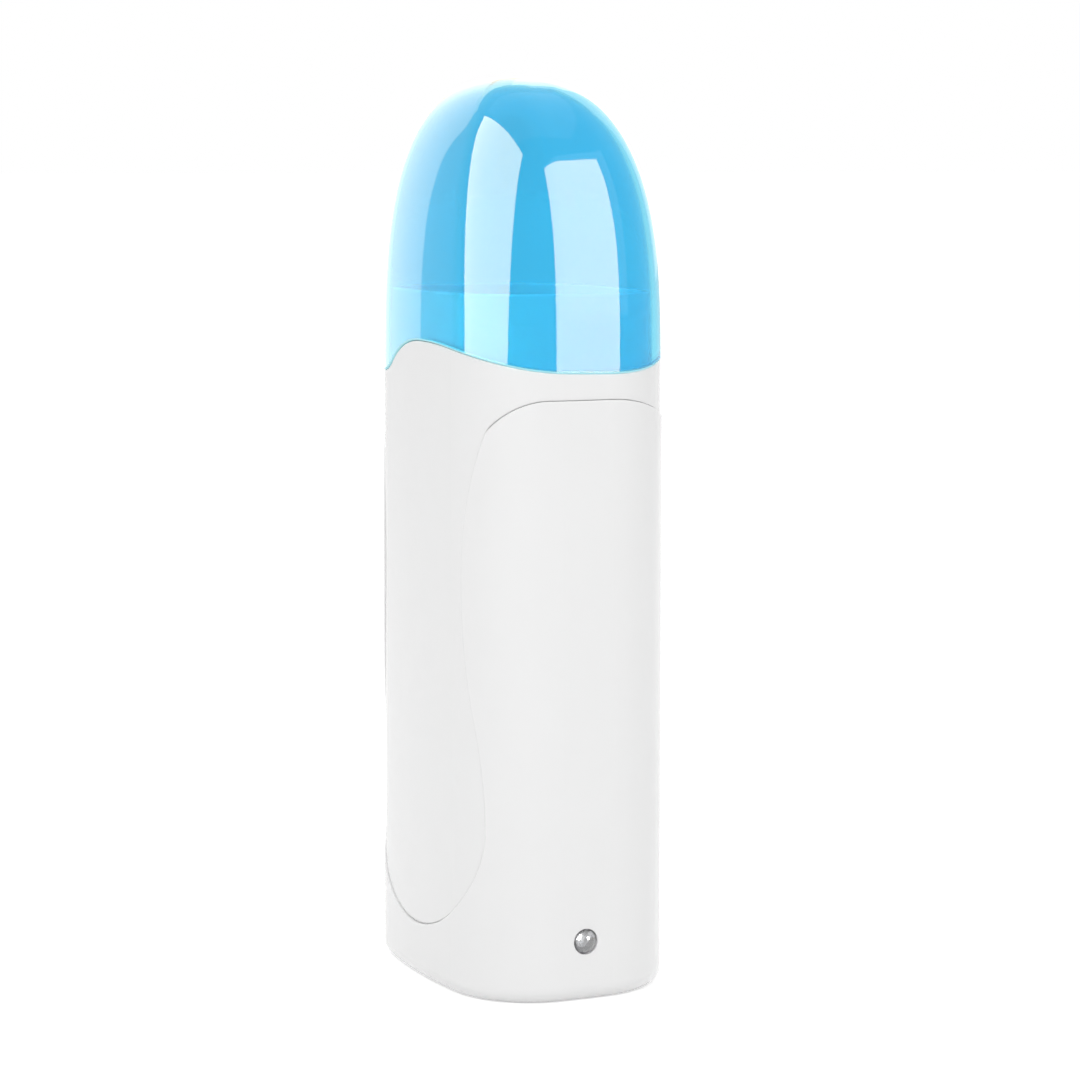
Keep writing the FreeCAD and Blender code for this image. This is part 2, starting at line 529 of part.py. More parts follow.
def turned(name, profile, place, aim):
    """A piece turned from a profile of radius and length pairs, starting at place along aim."""
    sketch = doc.addObject("Sketcher::SketchObject", name + "_profile")
    polygon(sketch, profile)
    feature = doc.addObject("Part::Revolution", name)
    feature.Source = sketch
    feature.Axis = Vector(0, 1, 0)
    feature.Solid = True
    upright = FreeCAD.Rotation(Vector(1, 0, 0), 90)
    feature.Placement = FreeCAD.Placement(Vector(*(now(p) for p in place)), AIMS[aim] * upright)
    for axis, part in zip("xyz", place):
        feature.setExpression(".Placement.Base." + axis, part)
    return feature


def rod(name, radius, length, place, aim):
    return turned(name, [("0", "0"), (radius, "0"), (radius, length), ("0", length)], place, aim)


def route(sketch, corners, bend):
    """Straight runs along the sketch's two axes, joined by bends of one radius."""
    places, radius = [(now(a), now(b)) for a, b in corners], now(bend)
    runs = len(corners) - 1
    ways = []
    for i in range(runs):
        (x0, y0), (x1, y1) = places[i], places[i + 1]
        length = math.hypot(x1 - x0, y1 - y0)
        ways.append(((x1 - x0) / length, (y1 - y0) / length))
    for i, (wx, wy) in enumerate(ways):
        before, after = (radius if i else 0), (radius if i < runs - 1 else 0)
        (x0, y0), (x1, y1) = places[i], places[i + 1]
        index = line(sketch, (x0 + wx * before, y0 + wy * before), (x1 - wx * after, y1 - wy * after))
        sketch.addConstraint(Constraint("Horizontal" if abs(wx) > abs(wy) else "Vertical", index))
    for i in range(runs - 1):
        (ux, uy), (vx, vy), (x, y) = ways[i], ways[i + 1], places[i + 1]
        cx, cy = x - (ux - vx) * radius, y - (uy - vy) * radius
        first, last = math.atan2(-vy, -vx), math.atan2(uy, ux)
        left_turn = ux * vy - uy * vx > 0
        bow = arc(sketch, cx, cy, radius, *((first, last) if left_turn else (last, first)))
        ends = (1, 2) if left_turn else (2, 1)
        sketch.addConstraint(Constraint("Tangent", i, 2, bow, ends[0]))
        sketch.addConstraint(Constraint("Tangent", bow, ends[1], i + 1, 1))
        dimension(sketch, "Radius", bow, bend)
    dimension(sketch, "DistanceX", -1, 1, 0, 1, corners[0][0])
    dimension(sketch, "DistanceY", -1, 1, 0, 1, corners[0][1])
    for i, (wx, wy) in enumerate(ways):
        level = abs(wx) > abs(wy)
        if i:
            dimension(sketch, "DistanceY" if level else "DistanceX", -1, 1, i, 1,
                      corners[i][1 if level else 0])
        if i == runs - 1:
            dimension(sketch, "DistanceX" if level else "DistanceY", -1, 1, i, 2,
                      corners[-1][0 if level else 1])


def wire(name, view, place, corners, bend, radius, start, start_view):
    """A round wire swept along a route; its start is met square on by the start view."""
    path = free_sketch(name + "_path", view, *place)
    route(path, corners, bend)
    ring = free_sketch(name + "_ring", start_view, *start)
    circle(ring, "0", "0", radius)
    feature = doc.addObject("Part::Sweep", name)
    feature.Sections = [ring]
    feature.Spine = (path, ["Edge%d" % (i + 1) for i in range(2 * len(corners) - 3)])
    feature.Solid = True
    return feature


def section_depth(x, y):
    """How far a point lies inside the outer section."""
    x, y = abs(x), abs(y)
    half_width, half_depth = now("Sizes.body_width / 2"), now("Sizes.body_depth / 2")
    corner, face, side = now("Sizes.corner_radius"), now("Sizes.face_radius"), now("Sizes.side_radius")
    corner_x, corner_y = corner_centre()
    side_x, face_y = half_width - side, half_depth - face
    if math.atan2(y, x - side_x) <= math.atan2(corner_y, corner_x - side_x):
        return side - math.hypot(x - side_x, y)
    if math.atan2(y - face_y, x) >= math.atan2(corner_y - face_y, corner_x):
        return face - math.hypot(x, y - face_y)
    return corner - math.hypot(x - corner_x, y - corner_y)


def edge_point(edge):
    return edge.valueAt((edge.FirstParameter + edge.LastParameter) / 2)


def is_upright(edge):
    first, last = edge.Vertexes[0].Point, edge.Vertexes[-1].Point
    return math.hypot(first.x - last.x, first.y - last.y) < TOUCH


def on_level(edge, height, depth, shift="0"):
    """Whether an edge lies at a height and a distance in from the outer section."""
    point, box = edge_point(edge), edge.BoundBox
    flat = abs(box.ZMin - now(height)) < TOUCH and abs(box.ZMax - now(height)) < TOUCH
    return flat and abs(section_depth(point.x, point.y - now(shift)) - now(depth)) < TOUCH


def below_shoulder(edge):
    """Whether an edge belongs to the bib's own outline rather than to the shoulder above it."""
    return edge_point(edge).z < now("Sizes.grip_top - Sizes.grip_front_round - Sizes.overshoot")


# ---------------------------------------------------------------- grip shell
grip_shell = new_body("grip_shell")
grip_outline = body_sketch(grip_shell, "grip_outline", "level")
crowned_ring(grip_outline, "0")
grip_block = pad(grip_shell, grip_outline, "grip_block", "Sizes.grip_top")
dress(grip_shell, "Fillet", "grip_base_round", grip_block, lambda e: on_level(e, "0", "0"),
      "Radius", "Sizes.base_round")
grip_hollow_outline = body_sketch(grip_shell, "grip_hollow_outline", "level", FLOOR_TOP)
crowned_ring(grip_hollow_outline, "Sizes.shell_wall")
pocket(grip_shell, grip_hollow_outline, "grip_hollow", "Sizes.grip_top", reverse=True)
floor_outline = body_sketch(grip_shell, "floor_opening_outline", "level")
crowned_ring(floor_outline, "Sizes.ledge_inset")
pocket(grip_shell, floor_outline, "floor_opening", FLOOR_TOP, reverse=True)
rebate_outline = body_sketch(grip_shell, "cover_rebate_outline", "level")
crowned_ring(rebate_outline, "Sizes.opening_inset")
pocket(grip_shell, rebate_outline, "cover_rebate", COVER_TOP, reverse=True)
grip_shoulder = body_sketch(grip_shell, "grip_shoulder_outline", "side")
shoulder_outline(grip_shoulder, "0")
pocket(grip_shell, grip_shoulder, "grip_shoulder", "2 * " + THROUGH_X, midplane=True)
grip_bib = body_sketch(grip_shell, "grip_bib_outline", "front")
bib_outline(grip_bib, "0")
grip_bib_cut = pocket(grip_shell, grip_bib, "grip_bib", "Sizes.body_depth", reverse=True)


def on_grip_seam(edge):
    """The edge round the bib; the shoulder's edge meets it in a corner and stays crisp."""
    point = edge_point(edge)
    return (abs(section_depth(point.x, point.y)) < TOUCH and not is_upright(edge)
            and below_shoulder(edge) and edge.BoundBox.ZMax > now("2 * Sizes.base_round"))


dress(grip_shell, "Fillet", "grip_bib_round", grip_bib_cut, on_grip_seam,
      "Radius", "Sizes.seam_round")
lamp_outline = body_sketch(grip_shell, "lamp_hole_outline", "side")
circle(lamp_outline, "Sizes.led_y", "Sizes.led_height", "Sizes.led_radius + Sizes.led_gap")
pocket(grip_shell, lamp_outline, "lamp_hole", "Sizes.body_width", reverse=True)

# ---------------------------------------------------------------- front housing
def front_region(name, grow):
    """The front bib and everything above the grip shell, as a solid."""
    bib = free_sketch(name + "_bib_outline", "front")
    bib_outline(bib, grow)
    shoulder = free_sketch(name + "_shoulder_outline", "side")
    shoulder_outline(shoulder, grow)
    return fuse(name, [extrude(name + "_bib", bib, THROUGH_Y),
                       extrude(name + "_shoulder", shoulder, THROUGH_X, THROUGH_X)])


def above_cap_line(name, grow):
    """Everything above the line between cap and housing, sloping down to the back."""
    sketch = free_sketch(name + "_outline", "front", y="-Sizes.body_depth / 2")
    cap_line_outline(sketch, grow)
    return extrude(name, sketch, "Sizes.body_depth + Sizes.overshoot", "Sizes.overshoot",
                   ("0", "1", "-Sizes.line_back_drop / Sizes.body_depth"))


SKIN_LOW = "(Sizes.bib_bottom - Sizes.lip_reach - Sizes.overshoot)"
SKIN_HIGH = "(Sizes.line_peak_height + Sizes.overshoot / 2)"
LIP_HIGH = "(Sizes.grip_top + Sizes.overshoot / 2)"
COLLAR_LOW = "(Sizes.collar_top - Sizes.collar_height)"
front_skin = common("front_skin", tube("front_skin_tube", "Sizes.front_inset", FRONT_SKIN_BACK,
                                       SKIN_LOW, SKIN_HIGH),
                    front_region("front_skin_region", "-Sizes.seam_gap"))
front_lip = common("front_lip", tube("front_lip_tube", "Sizes.shell_wall + Sizes.lip_gap",
                                     FRONT_SKIN_BACK, SKIN_LOW, LIP_HIGH),
                   front_region("front_lip_region", "Sizes.lip_reach"))
front_trimmed = cut("front_trimmed", fuse("front_skin_and_lip", [front_skin, front_lip]),
                    above_cap_line("front_cap_line", "0"))

collar = new_body("neck_collar")
collar_outline = body_sketch(collar, "collar_outline", "level", COLLAR_LOW)
crowned_ring(collar_outline, "Sizes.collar_inset")
pad(collar, collar_outline, "collar_block", "Sizes.collar_height")
collar_ledge = body_sketch(collar, "collar_ledge_outline", "level", COLLAR_LOW)
crowned_ring(collar_ledge, "Sizes.collar_ledge_inset")
pocket(collar, collar_ledge, "collar_ledge", "Sizes.collar_height", reverse=True)
collar_bore = body_sketch(collar, "collar_bore_outline", "level", LEDGE_TOP)
crowned_ring(collar_bore, "Sizes.collar_bore_inset")
collar_bored = pocket(collar, collar_bore, "collar_bore", "Sizes.collar_height", reverse=True)
dress(collar, "Fillet", "collar_rim_round", collar_bored,
      lambda e: (on_level(e, "Sizes.collar_top", "Sizes.collar_inset")
                 or on_level(e, "Sizes.collar_top", "Sizes.collar_bore_inset")),
      "Radius", "Sizes.collar_round")

POST_LENGTH = "(Sizes.post_top - %s)" % COVER_TOP
WEB_FRONT = "(Sizes.front_inset + Sizes.front_wall - Sizes.web_bite - Sizes.body_depth / 2)"
PILOT_RADIUS = "(Sizes.screw_radius + Sizes.hole_gap)"
PILOT_DEPTH = "(Sizes.screw_length - Sizes.cover_thickness + Sizes.pilot_spare)"
front_pieces = [front_trimmed, collar]
front_holes = []
for side, x in (("right", POST_X), ("left", "-" + POST_X)):
    front_pieces.append(rod("front_post_" + side, "Sizes.post_radius", POST_LENGTH,
                            (x, POST_FRONT_Y, COVER_TOP), "+z"))
    front_pieces.append(block(
        "front_web_" + side, (x + " - Sizes.web_thickness / 2", WEB_FRONT, "Sizes.web_low"),
        (x + " + Sizes.web_thickness / 2", POST_FRONT_Y, "Sizes.post_top")))
    front_holes.append(rod("front_pilot_" + side, PILOT_RADIUS, PILOT_DEPTH,
                           (x, POST_FRONT_Y, COVER_TOP), "+z"))
front_solid = cut("front_solid", fuse("front_joined", front_pieces), group("front_pilots", front_holes))

front_housing = new_body("front_housing")
front_housing.BaseFeature = front_solid


def on_front_seam(edge):
    """The bib's outline and the line under the cap, without the shoulder between them."""
    point, box = edge_point(edge), edge.BoundBox
    on_skin = abs(section_depth(point.x, point.y) - now("Sizes.front_inset")) < TOUCH
    over_grip = box.ZMin > now("Sizes.grip_top + Sizes.seam_gap") + TOUCH
    under_cap = box.ZMax < now("Sizes.line_peak_height") + TOUCH
    return on_skin and not is_upright(edge) and (below_shoulder(edge) or (over_grip and under_cap))


doc.recompute()
dress(front_housing, "Fillet", "front_seam_round", front_housing.Tip, on_front_seam,
      "Radius", "Sizes.seam_round")

# ---------------------------------------------------------------- cap
CAP_LEVELS = (0, 0.07, 0.13, 0.2, 0.3, 0.4, 0.55, 0.68, 0.79, 0.88, 0.945, 0.985)


def dome_rings(body, name, inset, top):
    """Rings that shrink and lean to the front as they rise, and the point that closes them."""
    rings = []
    rise = "(%s - Sizes.cap_spring)" % top
    for i, level in enumerate(CAP_LEVELS):
        shrink = "((1 - pow(%g; Sizes.cap_side_power))^(1 / Sizes.cap_crown_power))" % level
        ring = body_sketch(body, "%s_ring_%d" % (name, i + 1), "level",
                           "Sizes.cap_spring + %s * %g" % (rise, level),
                           "-Sizes.cap_lean * %g" % level ** 4)
        crowned_ring(ring, inset, shrink)
        rings.append(ring)
    apex = body_sketch(body, name + "_apex", "level", top, "-Sizes.cap_lean")
    apex.addGeometry(Part.Point(Vector(0, 0, 0)), False)
    apex.addConstraint(Constraint("Coincident", 0, 1, -1, 1))
    return rings, apex


def dome_loft(body, kind, name, inset, top):
    rings, apex = dome_rings(body, name, inset, top)
    doc.recompute()
    loft = body.newObject("PartDesign::" + kind, name)
    loft.Profile = rings[0]
    loft.Sections = [(ring, [""]) for ring in rings[1:]] + [(apex, ["Vertex1"])]
    return loft


cap_dome = new_body("cap_dome")
dome_loft(cap_dome, "AdditiveLoft", "cap_outside", "Sizes.cap_inset", "Sizes.cap_top")
dome_loft(cap_dome, "SubtractiveLoft", "cap_inside", "Sizes.cap_inset + Sizes.cap_wall",
          "Sizes.cap_top - Sizes.cap_wall")
cap = common("cap", cap_dome, above_cap_line("cap_line", "-Sizes.cap_gap"))

# ---------------------------------------------------------------- cartridge liner
SHIFT = "-Sizes.well_shift"
cartridge_well = new_body("cartridge_well")
well_outline = body_sketch(cartridge_well, "well_outline", "level", WELL_BOTTOM, SHIFT)
crowned_ring(well_outline, WELL_OUTSIDE)
pad(cartridge_well, well_outline, "well_block", "%s - %s" % (FLANGE_TOP, WELL_BOTTOM))
flange_outline = body_sketch(cartridge_well, "well_flange_outline", "level", LEDGE_TOP)
crowned_ring(flange_outline, "Sizes.collar_bore_inset + Sizes.flange_gap")
pad(cartridge_well, flange_outline, "well_flange", "Sizes.flange_thickness")
bore_outline = body_sketch(cartridge_well, "well_bore_outline", "level", "Sizes.well_floor", SHIFT)
crowned_ring(bore_outline, "Sizes.well_inset")
well_bore = pocket(cartridge_well, bore_outline, "well_bore", "Sizes.collar_top", reverse=True)
dress(cartridge_well, "Chamfer", "well_mouth", well_bore,
      lambda e: on_level(e, FLANGE_TOP, "Sizes.well_inset", SHIFT), "Size", "Sizes.mouth_chamfer")
window_outline = body_sketch(cartridge_well, "well_window_outline", "front")
rectangle(window_outline, "-Sizes.plate_width / 2", "Sizes.plate_width / 2",
          "Sizes.plate_low", "Sizes.plate_high")
pocket(cartridge_well, window_outline, "well_window", "Sizes.body_depth / 2")
rivet_outline = body_sketch(cartridge_well, "well_rivet_outline", "front")
circle(rivet_outline, "0", "Sizes.spring_low - Sizes.spring_tab / 2",
       "Sizes.rivet_radius + Sizes.hole_gap")
pocket(cartridge_well, rivet_outline, "well_rivet_hole", "Sizes.body_depth / 2", reverse=True)
rear_posts = body_sketch(cartridge_well, "rear_posts_outline", "level", COVER_TOP)
for x in (POST_X, "-" + POST_X):
    circle(rear_posts, x, POST_BACK_Y, "Sizes.post_radius")
pad(cartridge_well, rear_posts, "rear_posts", "%s - %s" % (WELL_BOTTOM, COVER_TOP))
rear_pilots = body_sketch(cartridge_well, "rear_pilots_outline", "level", COVER_TOP)
for x in (POST_X, "-" + POST_X):
    circle(rear_pilots, x, POST_BACK_Y, PILOT_RADIUS)
pocket(cartridge_well, rear_pilots, "rear_pilots", PILOT_DEPTH, reverse=True)

# ---------------------------------------------------------------- heating plate
STONE_HEIGHTS = (PACK_MIDDLE + " - Sizes.stone_spacing / 2", PACK_MIDDLE + " + Sizes.stone_spacing / 2")
heat_plate = new_body("heat_plate")
plate_outline = body_sketch(heat_plate, "plate_outline", "level",
                            "Sizes.plate_low - Sizes.plate_overlap")
rectangle(plate_outline, "-Sizes.plate_width / 2 - Sizes.plate_overlap",
          "Sizes.plate_width / 2 + Sizes.plate_overlap", PLATE_BACK + " / 2", PLATE_BACK)
pad(heat_plate, plate_outline, "plate_block",
    "Sizes.plate_high - Sizes.plate_low + 2 * Sizes.plate_overlap")
plate_seat = body_sketch(heat_plate, "plate_seat_outline", "level",
                         "Sizes.plate_low - Sizes.plate_overlap", SHIFT)
crowned_ring(plate_seat, WELL_OUTSIDE)
pocket(heat_plate, plate_seat, "plate_seat", "Sizes.plate_high", reverse=True)
plate_window = body_sketch(heat_plate, "plate_window_outline", "level",
                           "Sizes.plate_low + Sizes.window_gap")
rectangle(plate_window, "Sizes.window_gap - Sizes.plate_width / 2",
          "Sizes.plate_width / 2 - Sizes.window_gap", PLATE_BACK + " / 2", PLATE_BACK)
pad(heat_plate, plate_window, "plate_window",
    "Sizes.plate_high - Sizes.plate_low - 2 * Sizes.window_gap")
plate_face = body_sketch(heat_plate, "plate_face_outline", "level", "Sizes.plate_low", SHIFT)
crowned_ring(plate_face, "Sizes.well_inset")
pocket(heat_plate, plate_face, "plate_face", "Sizes.plate_high", reverse=True)
plate_holes = body_sketch(heat_plate, "plate_holes_outline", "front", "-" + PLATE_BACK)
for x in ("Sizes.clamp_screw_x", "-Sizes.clamp_screw_x"):
    for z in STONE_HEIGHTS:
        circle(plate_holes, x, z, PILOT_RADIUS)
pocket(heat_plate, plate_holes, "plate_holes",
       "Sizes.clamp_screw_length - Sizes.clamp_thickness + Sizes.screw_gap", reverse=True)


# ---------------------------------------------------------------- heating pack
def layer(name, half_width, low, high, front_y, back_y):
    return block(name, ("-" + half_width, front_y, low), (half_width, back_y, high))


def electrode(name, tab_x, front_y, back_y):
    """A thin strip with a tab hanging from its lower edge."""
    half, tab = "Sizes.electrode_width / 2", "Sizes.tab_width / 2"
    sketch = free_sketch(name + "_outline", "front", y=back_y)
    tab_end = "Sizes.pack_low - Sizes.tab_drop"
    polygon(sketch, [("-" + half, "Sizes.pack_low"), (tab_x + " - " + tab, "Sizes.pack_low"),
                     (tab_x + " - " + tab, tab_end), (tab_x + " + " + tab, tab_end),
                     (tab_x + " + " + tab, "Sizes.pack_low"), (half, "Sizes.pack_low"),
                     (half, "Sizes.pack_high"), ("-" + half, "Sizes.pack_high")])
    return extrude(name, sketch, "(%s) - (%s)" % (back_y, front_y))


heater_film = layer("heater_film", "Sizes.film_width / 2", "Sizes.pack_low", "Sizes.pack_high",
                    PLATE_BACK, FILM_BACK)
inner_electrode = electrode("inner_electrode", "-Sizes.tab_x", FILM_BACK, INNER_ELECTRODE_BACK)
ptc_stones = group("ptc_stones", [
    layer("ptc_stone_" + word, "Sizes.electrode_width / 2", z + " - Sizes.stone_height / 2",
          z + " + Sizes.stone_height / 2", INNER_ELECTRODE_BACK, STONE_BACK)
    for word, z in zip(("lower", "upper"), STONE_HEIGHTS)])
outer_electrode = electrode("outer_electrode", "Sizes.tab_x", STONE_BACK, OUTER_ELECTRODE_BACK)
mica_sheet = layer("mica_sheet", "Sizes.film_width / 2", "Sizes.pack_low", "Sizes.pack_high",
                   OUTER_ELECTRODE_BACK, MICA_BACK)

LEG_LEAN = ("((Sizes.clamp_foot_start - Sizes.clamp_crown_half) / (%s - %s))"
            % (MICA_BACK, PLATE_BACK))
BEND_SHIFT = "(Sizes.clamp_thickness * (sqrt(1 + %s^2) - %s))" % (LEG_LEAN, LEG_LEAN)


def clamp_strap(name, middle):
    """A flat strip bent over the pack, with a screwed foot at each side."""
    foot_back = PLATE_BACK + " + Sizes.clamp_thickness"
    crown_back = MICA_BACK + " + Sizes.clamp_thickness"
    half = [("Sizes.clamp_foot_end", PLATE_BACK), ("Sizes.clamp_foot_end", foot_back),
            ("Sizes.clamp_foot_start + " + BEND_SHIFT, foot_back),
            ("Sizes.clamp_crown_half + " + BEND_SHIFT, crown_back)]
    under = [("Sizes.clamp_crown_half", MICA_BACK), ("Sizes.clamp_foot_start", PLATE_BACK)]
    mirrored = [("-(%s)" % x, y) for x, y in reversed(half)]
    mirrored_under = [("-(%s)" % x, y) for x, y in reversed(under)]
    sketch = free_sketch(name + "_profile", "level",
                         z="(%s) - Sizes.clamp_height / 2" % middle)
    polygon(sketch, half + mirrored + mirrored_under + under)
    strap = extrude(name + "_strap", sketch, "Sizes.clamp_height")
    holes = [rod("%s_hole_%s" % (name, side), "Sizes.screw_radius + Sizes.screw_gap",
                 "2 * Sizes.clamp_thickness", (x, PLATE_BACK, middle), "+y")
             for side, x in (("right", "Sizes.clamp_screw_x"), ("left", "-Sizes.clamp_screw_x"))]
    return cut(name, strap, group(name + "_holes", holes))


heater_clamps = group("heater_clamps", [clamp_strap("clamp_" + word, z)
                                        for word, z in zip(("lower", "upper"), STONE_HEIGHTS)])


def screw(name, place, aim, head_radius, head_height, length):
    """A pan-head screw whose head starts at place, with a cross driven into the head."""
    blank = turned(name + "_blank", [
        ("0", "0"), (head_radius + " - Sizes.head_round", "0"), (head_radius, "Sizes.head_round"),
        (head_radius, head_height), ("Sizes.screw_radius", head_height),
        ("Sizes.screw_radius", "(%s) - Sizes.screw_radius" % length), ("0", length)], place, aim)
    slots = []
    across, narrow = head_radius + " * Sizes.cross_share", "Sizes.cross_width / 2"
    for word, reach_x, reach_z in (("a", across, narrow), ("b", narrow, across)):
        low, high = list(place), list(place)
        for i, reach in ((0, reach_x), (1 if aim[1] == "z" else 2, reach_z)):
            low[i] = "%s - %s" % (place[i], reach)
            high[i] = "%s + %s" % (place[i], reach)
        along = "xyz".index(aim[1])
        deep = "Sizes.cross_depth"
        low[along], high[along] = ((place[along], "%s + %s" % (place[along], deep))
                                   if aim[0] == "+" else
                                   ("%s - %s" % (place[along], deep), place[along]))
        slots.append(block("%s_cross_%s" % (name, word), low, high))
    return cut(name, blank, fuse(name + "_cross", slots))


CLAMP_HEAD_BACK = "(%s + Sizes.clamp_thickness + Sizes.clamp_head_height)" % PLATE_BACK
clamp_screws = group("clamp_screws", [
    screw("clamp_screw_%s_%s" % (word, side), (x, CLAMP_HEAD_BACK, z), "-y",
          "Sizes.clamp_head_radius", "Sizes.clamp_head_height",
          "Sizes.clamp_screw_length + Sizes.clamp_head_height")
    for word, z in zip(("lower", "upper"), STONE_HEIGHTS)
    for side, x in (("right", "Sizes.clamp_screw_x"), ("left", "-Sizes.clamp_screw_x"))])

# ---------------------------------------------------------------- cartridge spring
SPRING_Y = "(%s + Sizes.spring_stand)" % WELL_FRONT_Y
SPRING_HALF = "((Sizes.spring_high - Sizes.spring_low) / 2)"
BOW_RADIUS = "((%s^2 + Sizes.spring_bow^2) / (2 * Sizes.spring_bow))" % SPRING_HALF


def bowed_strip(sketch):
    """The spring's bowed length in Y and Z: two concentric arcs bulging to the back."""
    radius, thickness = now(BOW_RADIUS), now("Sizes.spring_thickness")
    y, z = now(SPRING_Y + " + Sizes.spring_bow") - radius, now("Sizes.spring_low + " + SPRING_HALF)
    turn = math.asin(now(SPRING_HALF) / radius)
    inner = arc(sketch, y, z, radius, -turn, turn)
    outer = arc(sketch, y, z, radius + thickness, -turn, turn)
    ends = [((y + (radius + t) * math.cos(turn)), (radius + t) * math.sin(turn))
            for t in (0, thickness)]
    low = line(sketch, (ends[0][0], z - ends[0][1]), (ends[1][0], z - ends[1][1]))
    high = line(sketch, (ends[0][0], z + ends[0][1]), (ends[1][0], z + ends[1][1]))
    for joint in ((inner, 1, low, 1), (low, 2, outer, 1), (inner, 2, high, 1), (high, 2, outer, 2),
                  (inner, 3, outer, 3)):
        sketch.addConstraint(Constraint("Coincident", *joint))
    for end in (low, high):
        sketch.addConstraint(Constraint("PointOnObject", inner, 3, end))
    dimension(sketch, "Radius", inner, BOW_RADIUS)
    dimension(sketch, "Radius", outer, BOW_RADIUS + " + Sizes.spring_thickness")
    dimension(sketch, "DistanceX", inner, 3, -1, 1,
              "%s - Sizes.spring_bow - %s" % (BOW_RADIUS, SPRING_Y))
    dimension(sketch, "DistanceY", -1, 1, inner, 3, "Sizes.spring_low + " + SPRING_HALF)
    dimension(sketch, "DistanceY", -1, 1, inner, 1, "Sizes.spring_low")
    dimension(sketch, "DistanceY", -1, 1, inner, 2, "Sizes.spring_high")


spring_bow = free_sketch("spring_bow_profile", "side", x="-Sizes.spring_width / 2")
bowed_strip(spring_bow)
spring_tab = block("spring_tab", ("-Sizes.spring_width / 2", SPRING_Y,
                                  "Sizes.spring_low - Sizes.spring_tab"),
                   ("Sizes.spring_width / 2", SPRING_Y + " + Sizes.spring_thickness",
                    "Sizes.spring_low + Sizes.spring_overlap"))
RIVET_Z = "Sizes.spring_low - Sizes.spring_tab / 2"
cartridge_spring = cut(
    "cartridge_spring",
    fuse("spring_strip", [extrude("spring_bow", spring_bow, "Sizes.spring_width"), spring_tab]),
    rod("spring_hole", "Sizes.rivet_radius + Sizes.hole_gap", "3 * Sizes.spring_thickness",
        ("0", SPRING_Y + " - Sizes.spring_thickness", RIVET_Z), "+y"))
RIVET_GRIP = "(Sizes.well_wall + Sizes.spring_stand + Sizes.spring_thickness)"
RIVET_FAR = "(Sizes.rivet_head_height + %s)" % RIVET_GRIP
spring_rivet = turned("spring_rivet", [
    ("0", "0"), ("Sizes.rivet_head_radius", "0"),
    ("Sizes.rivet_head_radius", "Sizes.rivet_head_height"),
    ("Sizes.rivet_radius", "Sizes.rivet_head_height"), ("Sizes.rivet_radius", RIVET_FAR),
    ("Sizes.rivet_head_radius", RIVET_FAR),
    ("Sizes.rivet_head_radius - Sizes.head_round", RIVET_FAR + " + Sizes.rivet_head_height"),
    ("0", RIVET_FAR + " + Sizes.rivet_head_height")],
    ("0", "%s - Sizes.well_wall - Sizes.rivet_head_height" % WELL_FRONT_Y, RIVET_Z), "+y")

# ---------------------------------------------------------------- base cover and inlet
base_cover = new_body("base_cover")
cover_outline = body_sketch(base_cover, "cover_outline", "level", "Sizes.cover_recess")
crowned_ring(cover_outline, "Sizes.cover_inset")
cover_plate = pad(base_cover, cover_outline, "cover_plate", "Sizes.cover_thickness")
dress(base_cover, "Chamfer", "cover_edge", cover_plate,
      lambda e: on_level(e, "Sizes.cover_recess", "Sizes.cover_inset"), "Size", "Sizes.cover_chamfer")
inlet_outside = body_sketch(base_cover, "inlet_outside_outline", "level", "Sizes.cover_recess")
slot(inlet_outside, "Sizes.inlet_length + 2 * Sizes.inlet_wall",
     "Sizes.inlet_width + 2 * Sizes.inlet_wall")
pad(base_cover, inlet_outside, "inlet_sleeve", "Sizes.inlet_depth + Sizes.inlet_end_wall")
inlet_inside = body_sketch(base_cover, "inlet_inside_outline", "level", "Sizes.cover_recess")
slot(inlet_inside, "Sizes.inlet_length", "Sizes.inlet_width")
pocket(base_cover, inlet_inside, "inlet_cavity", "Sizes.inlet_depth", reverse=True)
CAVITY_TOP = "(Sizes.cover_recess + Sizes.inlet_depth)"
INLET_TOP = "(Sizes.cover_recess + Sizes.inlet_depth + Sizes.inlet_end_wall)"
pin_holes = body_sketch(base_cover, "pin_holes_outline", "level", CAVITY_TOP)
for x in ("Sizes.pin_pitch / 2", "-Sizes.pin_pitch / 2"):
    circle(pin_holes, x, "0", "Sizes.pin_neck_radius")
pocket(base_cover, pin_holes, "pin_holes", "Sizes.inlet_end_wall", reverse=True)
POSTS = [("%s_%s" % (end, side), x, y)
         for end, y in (("front", POST_FRONT_Y), ("rear", POST_BACK_Y))
         for side, x in (("right", POST_X), ("left", "-" + POST_X))]
shank_holes = body_sketch(base_cover, "shank_holes_outline", "level", "Sizes.cover_recess")
head_holes = body_sketch(base_cover, "head_holes_outline", "level", "Sizes.cover_recess")
for word, x, y in POSTS:
    circle(shank_holes, x, y, "Sizes.screw_radius + Sizes.screw_gap")
    circle(head_holes, x, y, "Sizes.screw_head_radius + Sizes.screw_gap")
pocket(base_cover, shank_holes, "shank_holes", "Sizes.cover_thickness", reverse=True)
pocket(base_cover, head_holes, "head_holes", "Sizes.screw_head_height", reverse=True)
base_screws = group("base_screws", [
    screw("base_screw_" + word, (x, y, "Sizes.cover_recess"), "+z", "Sizes.screw_head_radius",
          "Sizes.screw_head_height", "Sizes.screw_length") for word, x, y in POSTS])
PIN_BACK = "(Sizes.pin_reach + Sizes.inlet_end_wall)"
PIN_LENGTH = "(%s + Sizes.pin_tail)" % PIN_BACK
PIN_NECK = "(Sizes.pin_reach - Sizes.pin_neck)"
PIN_FLANGE = "(%s + Sizes.pin_flange_height)" % PIN_BACK
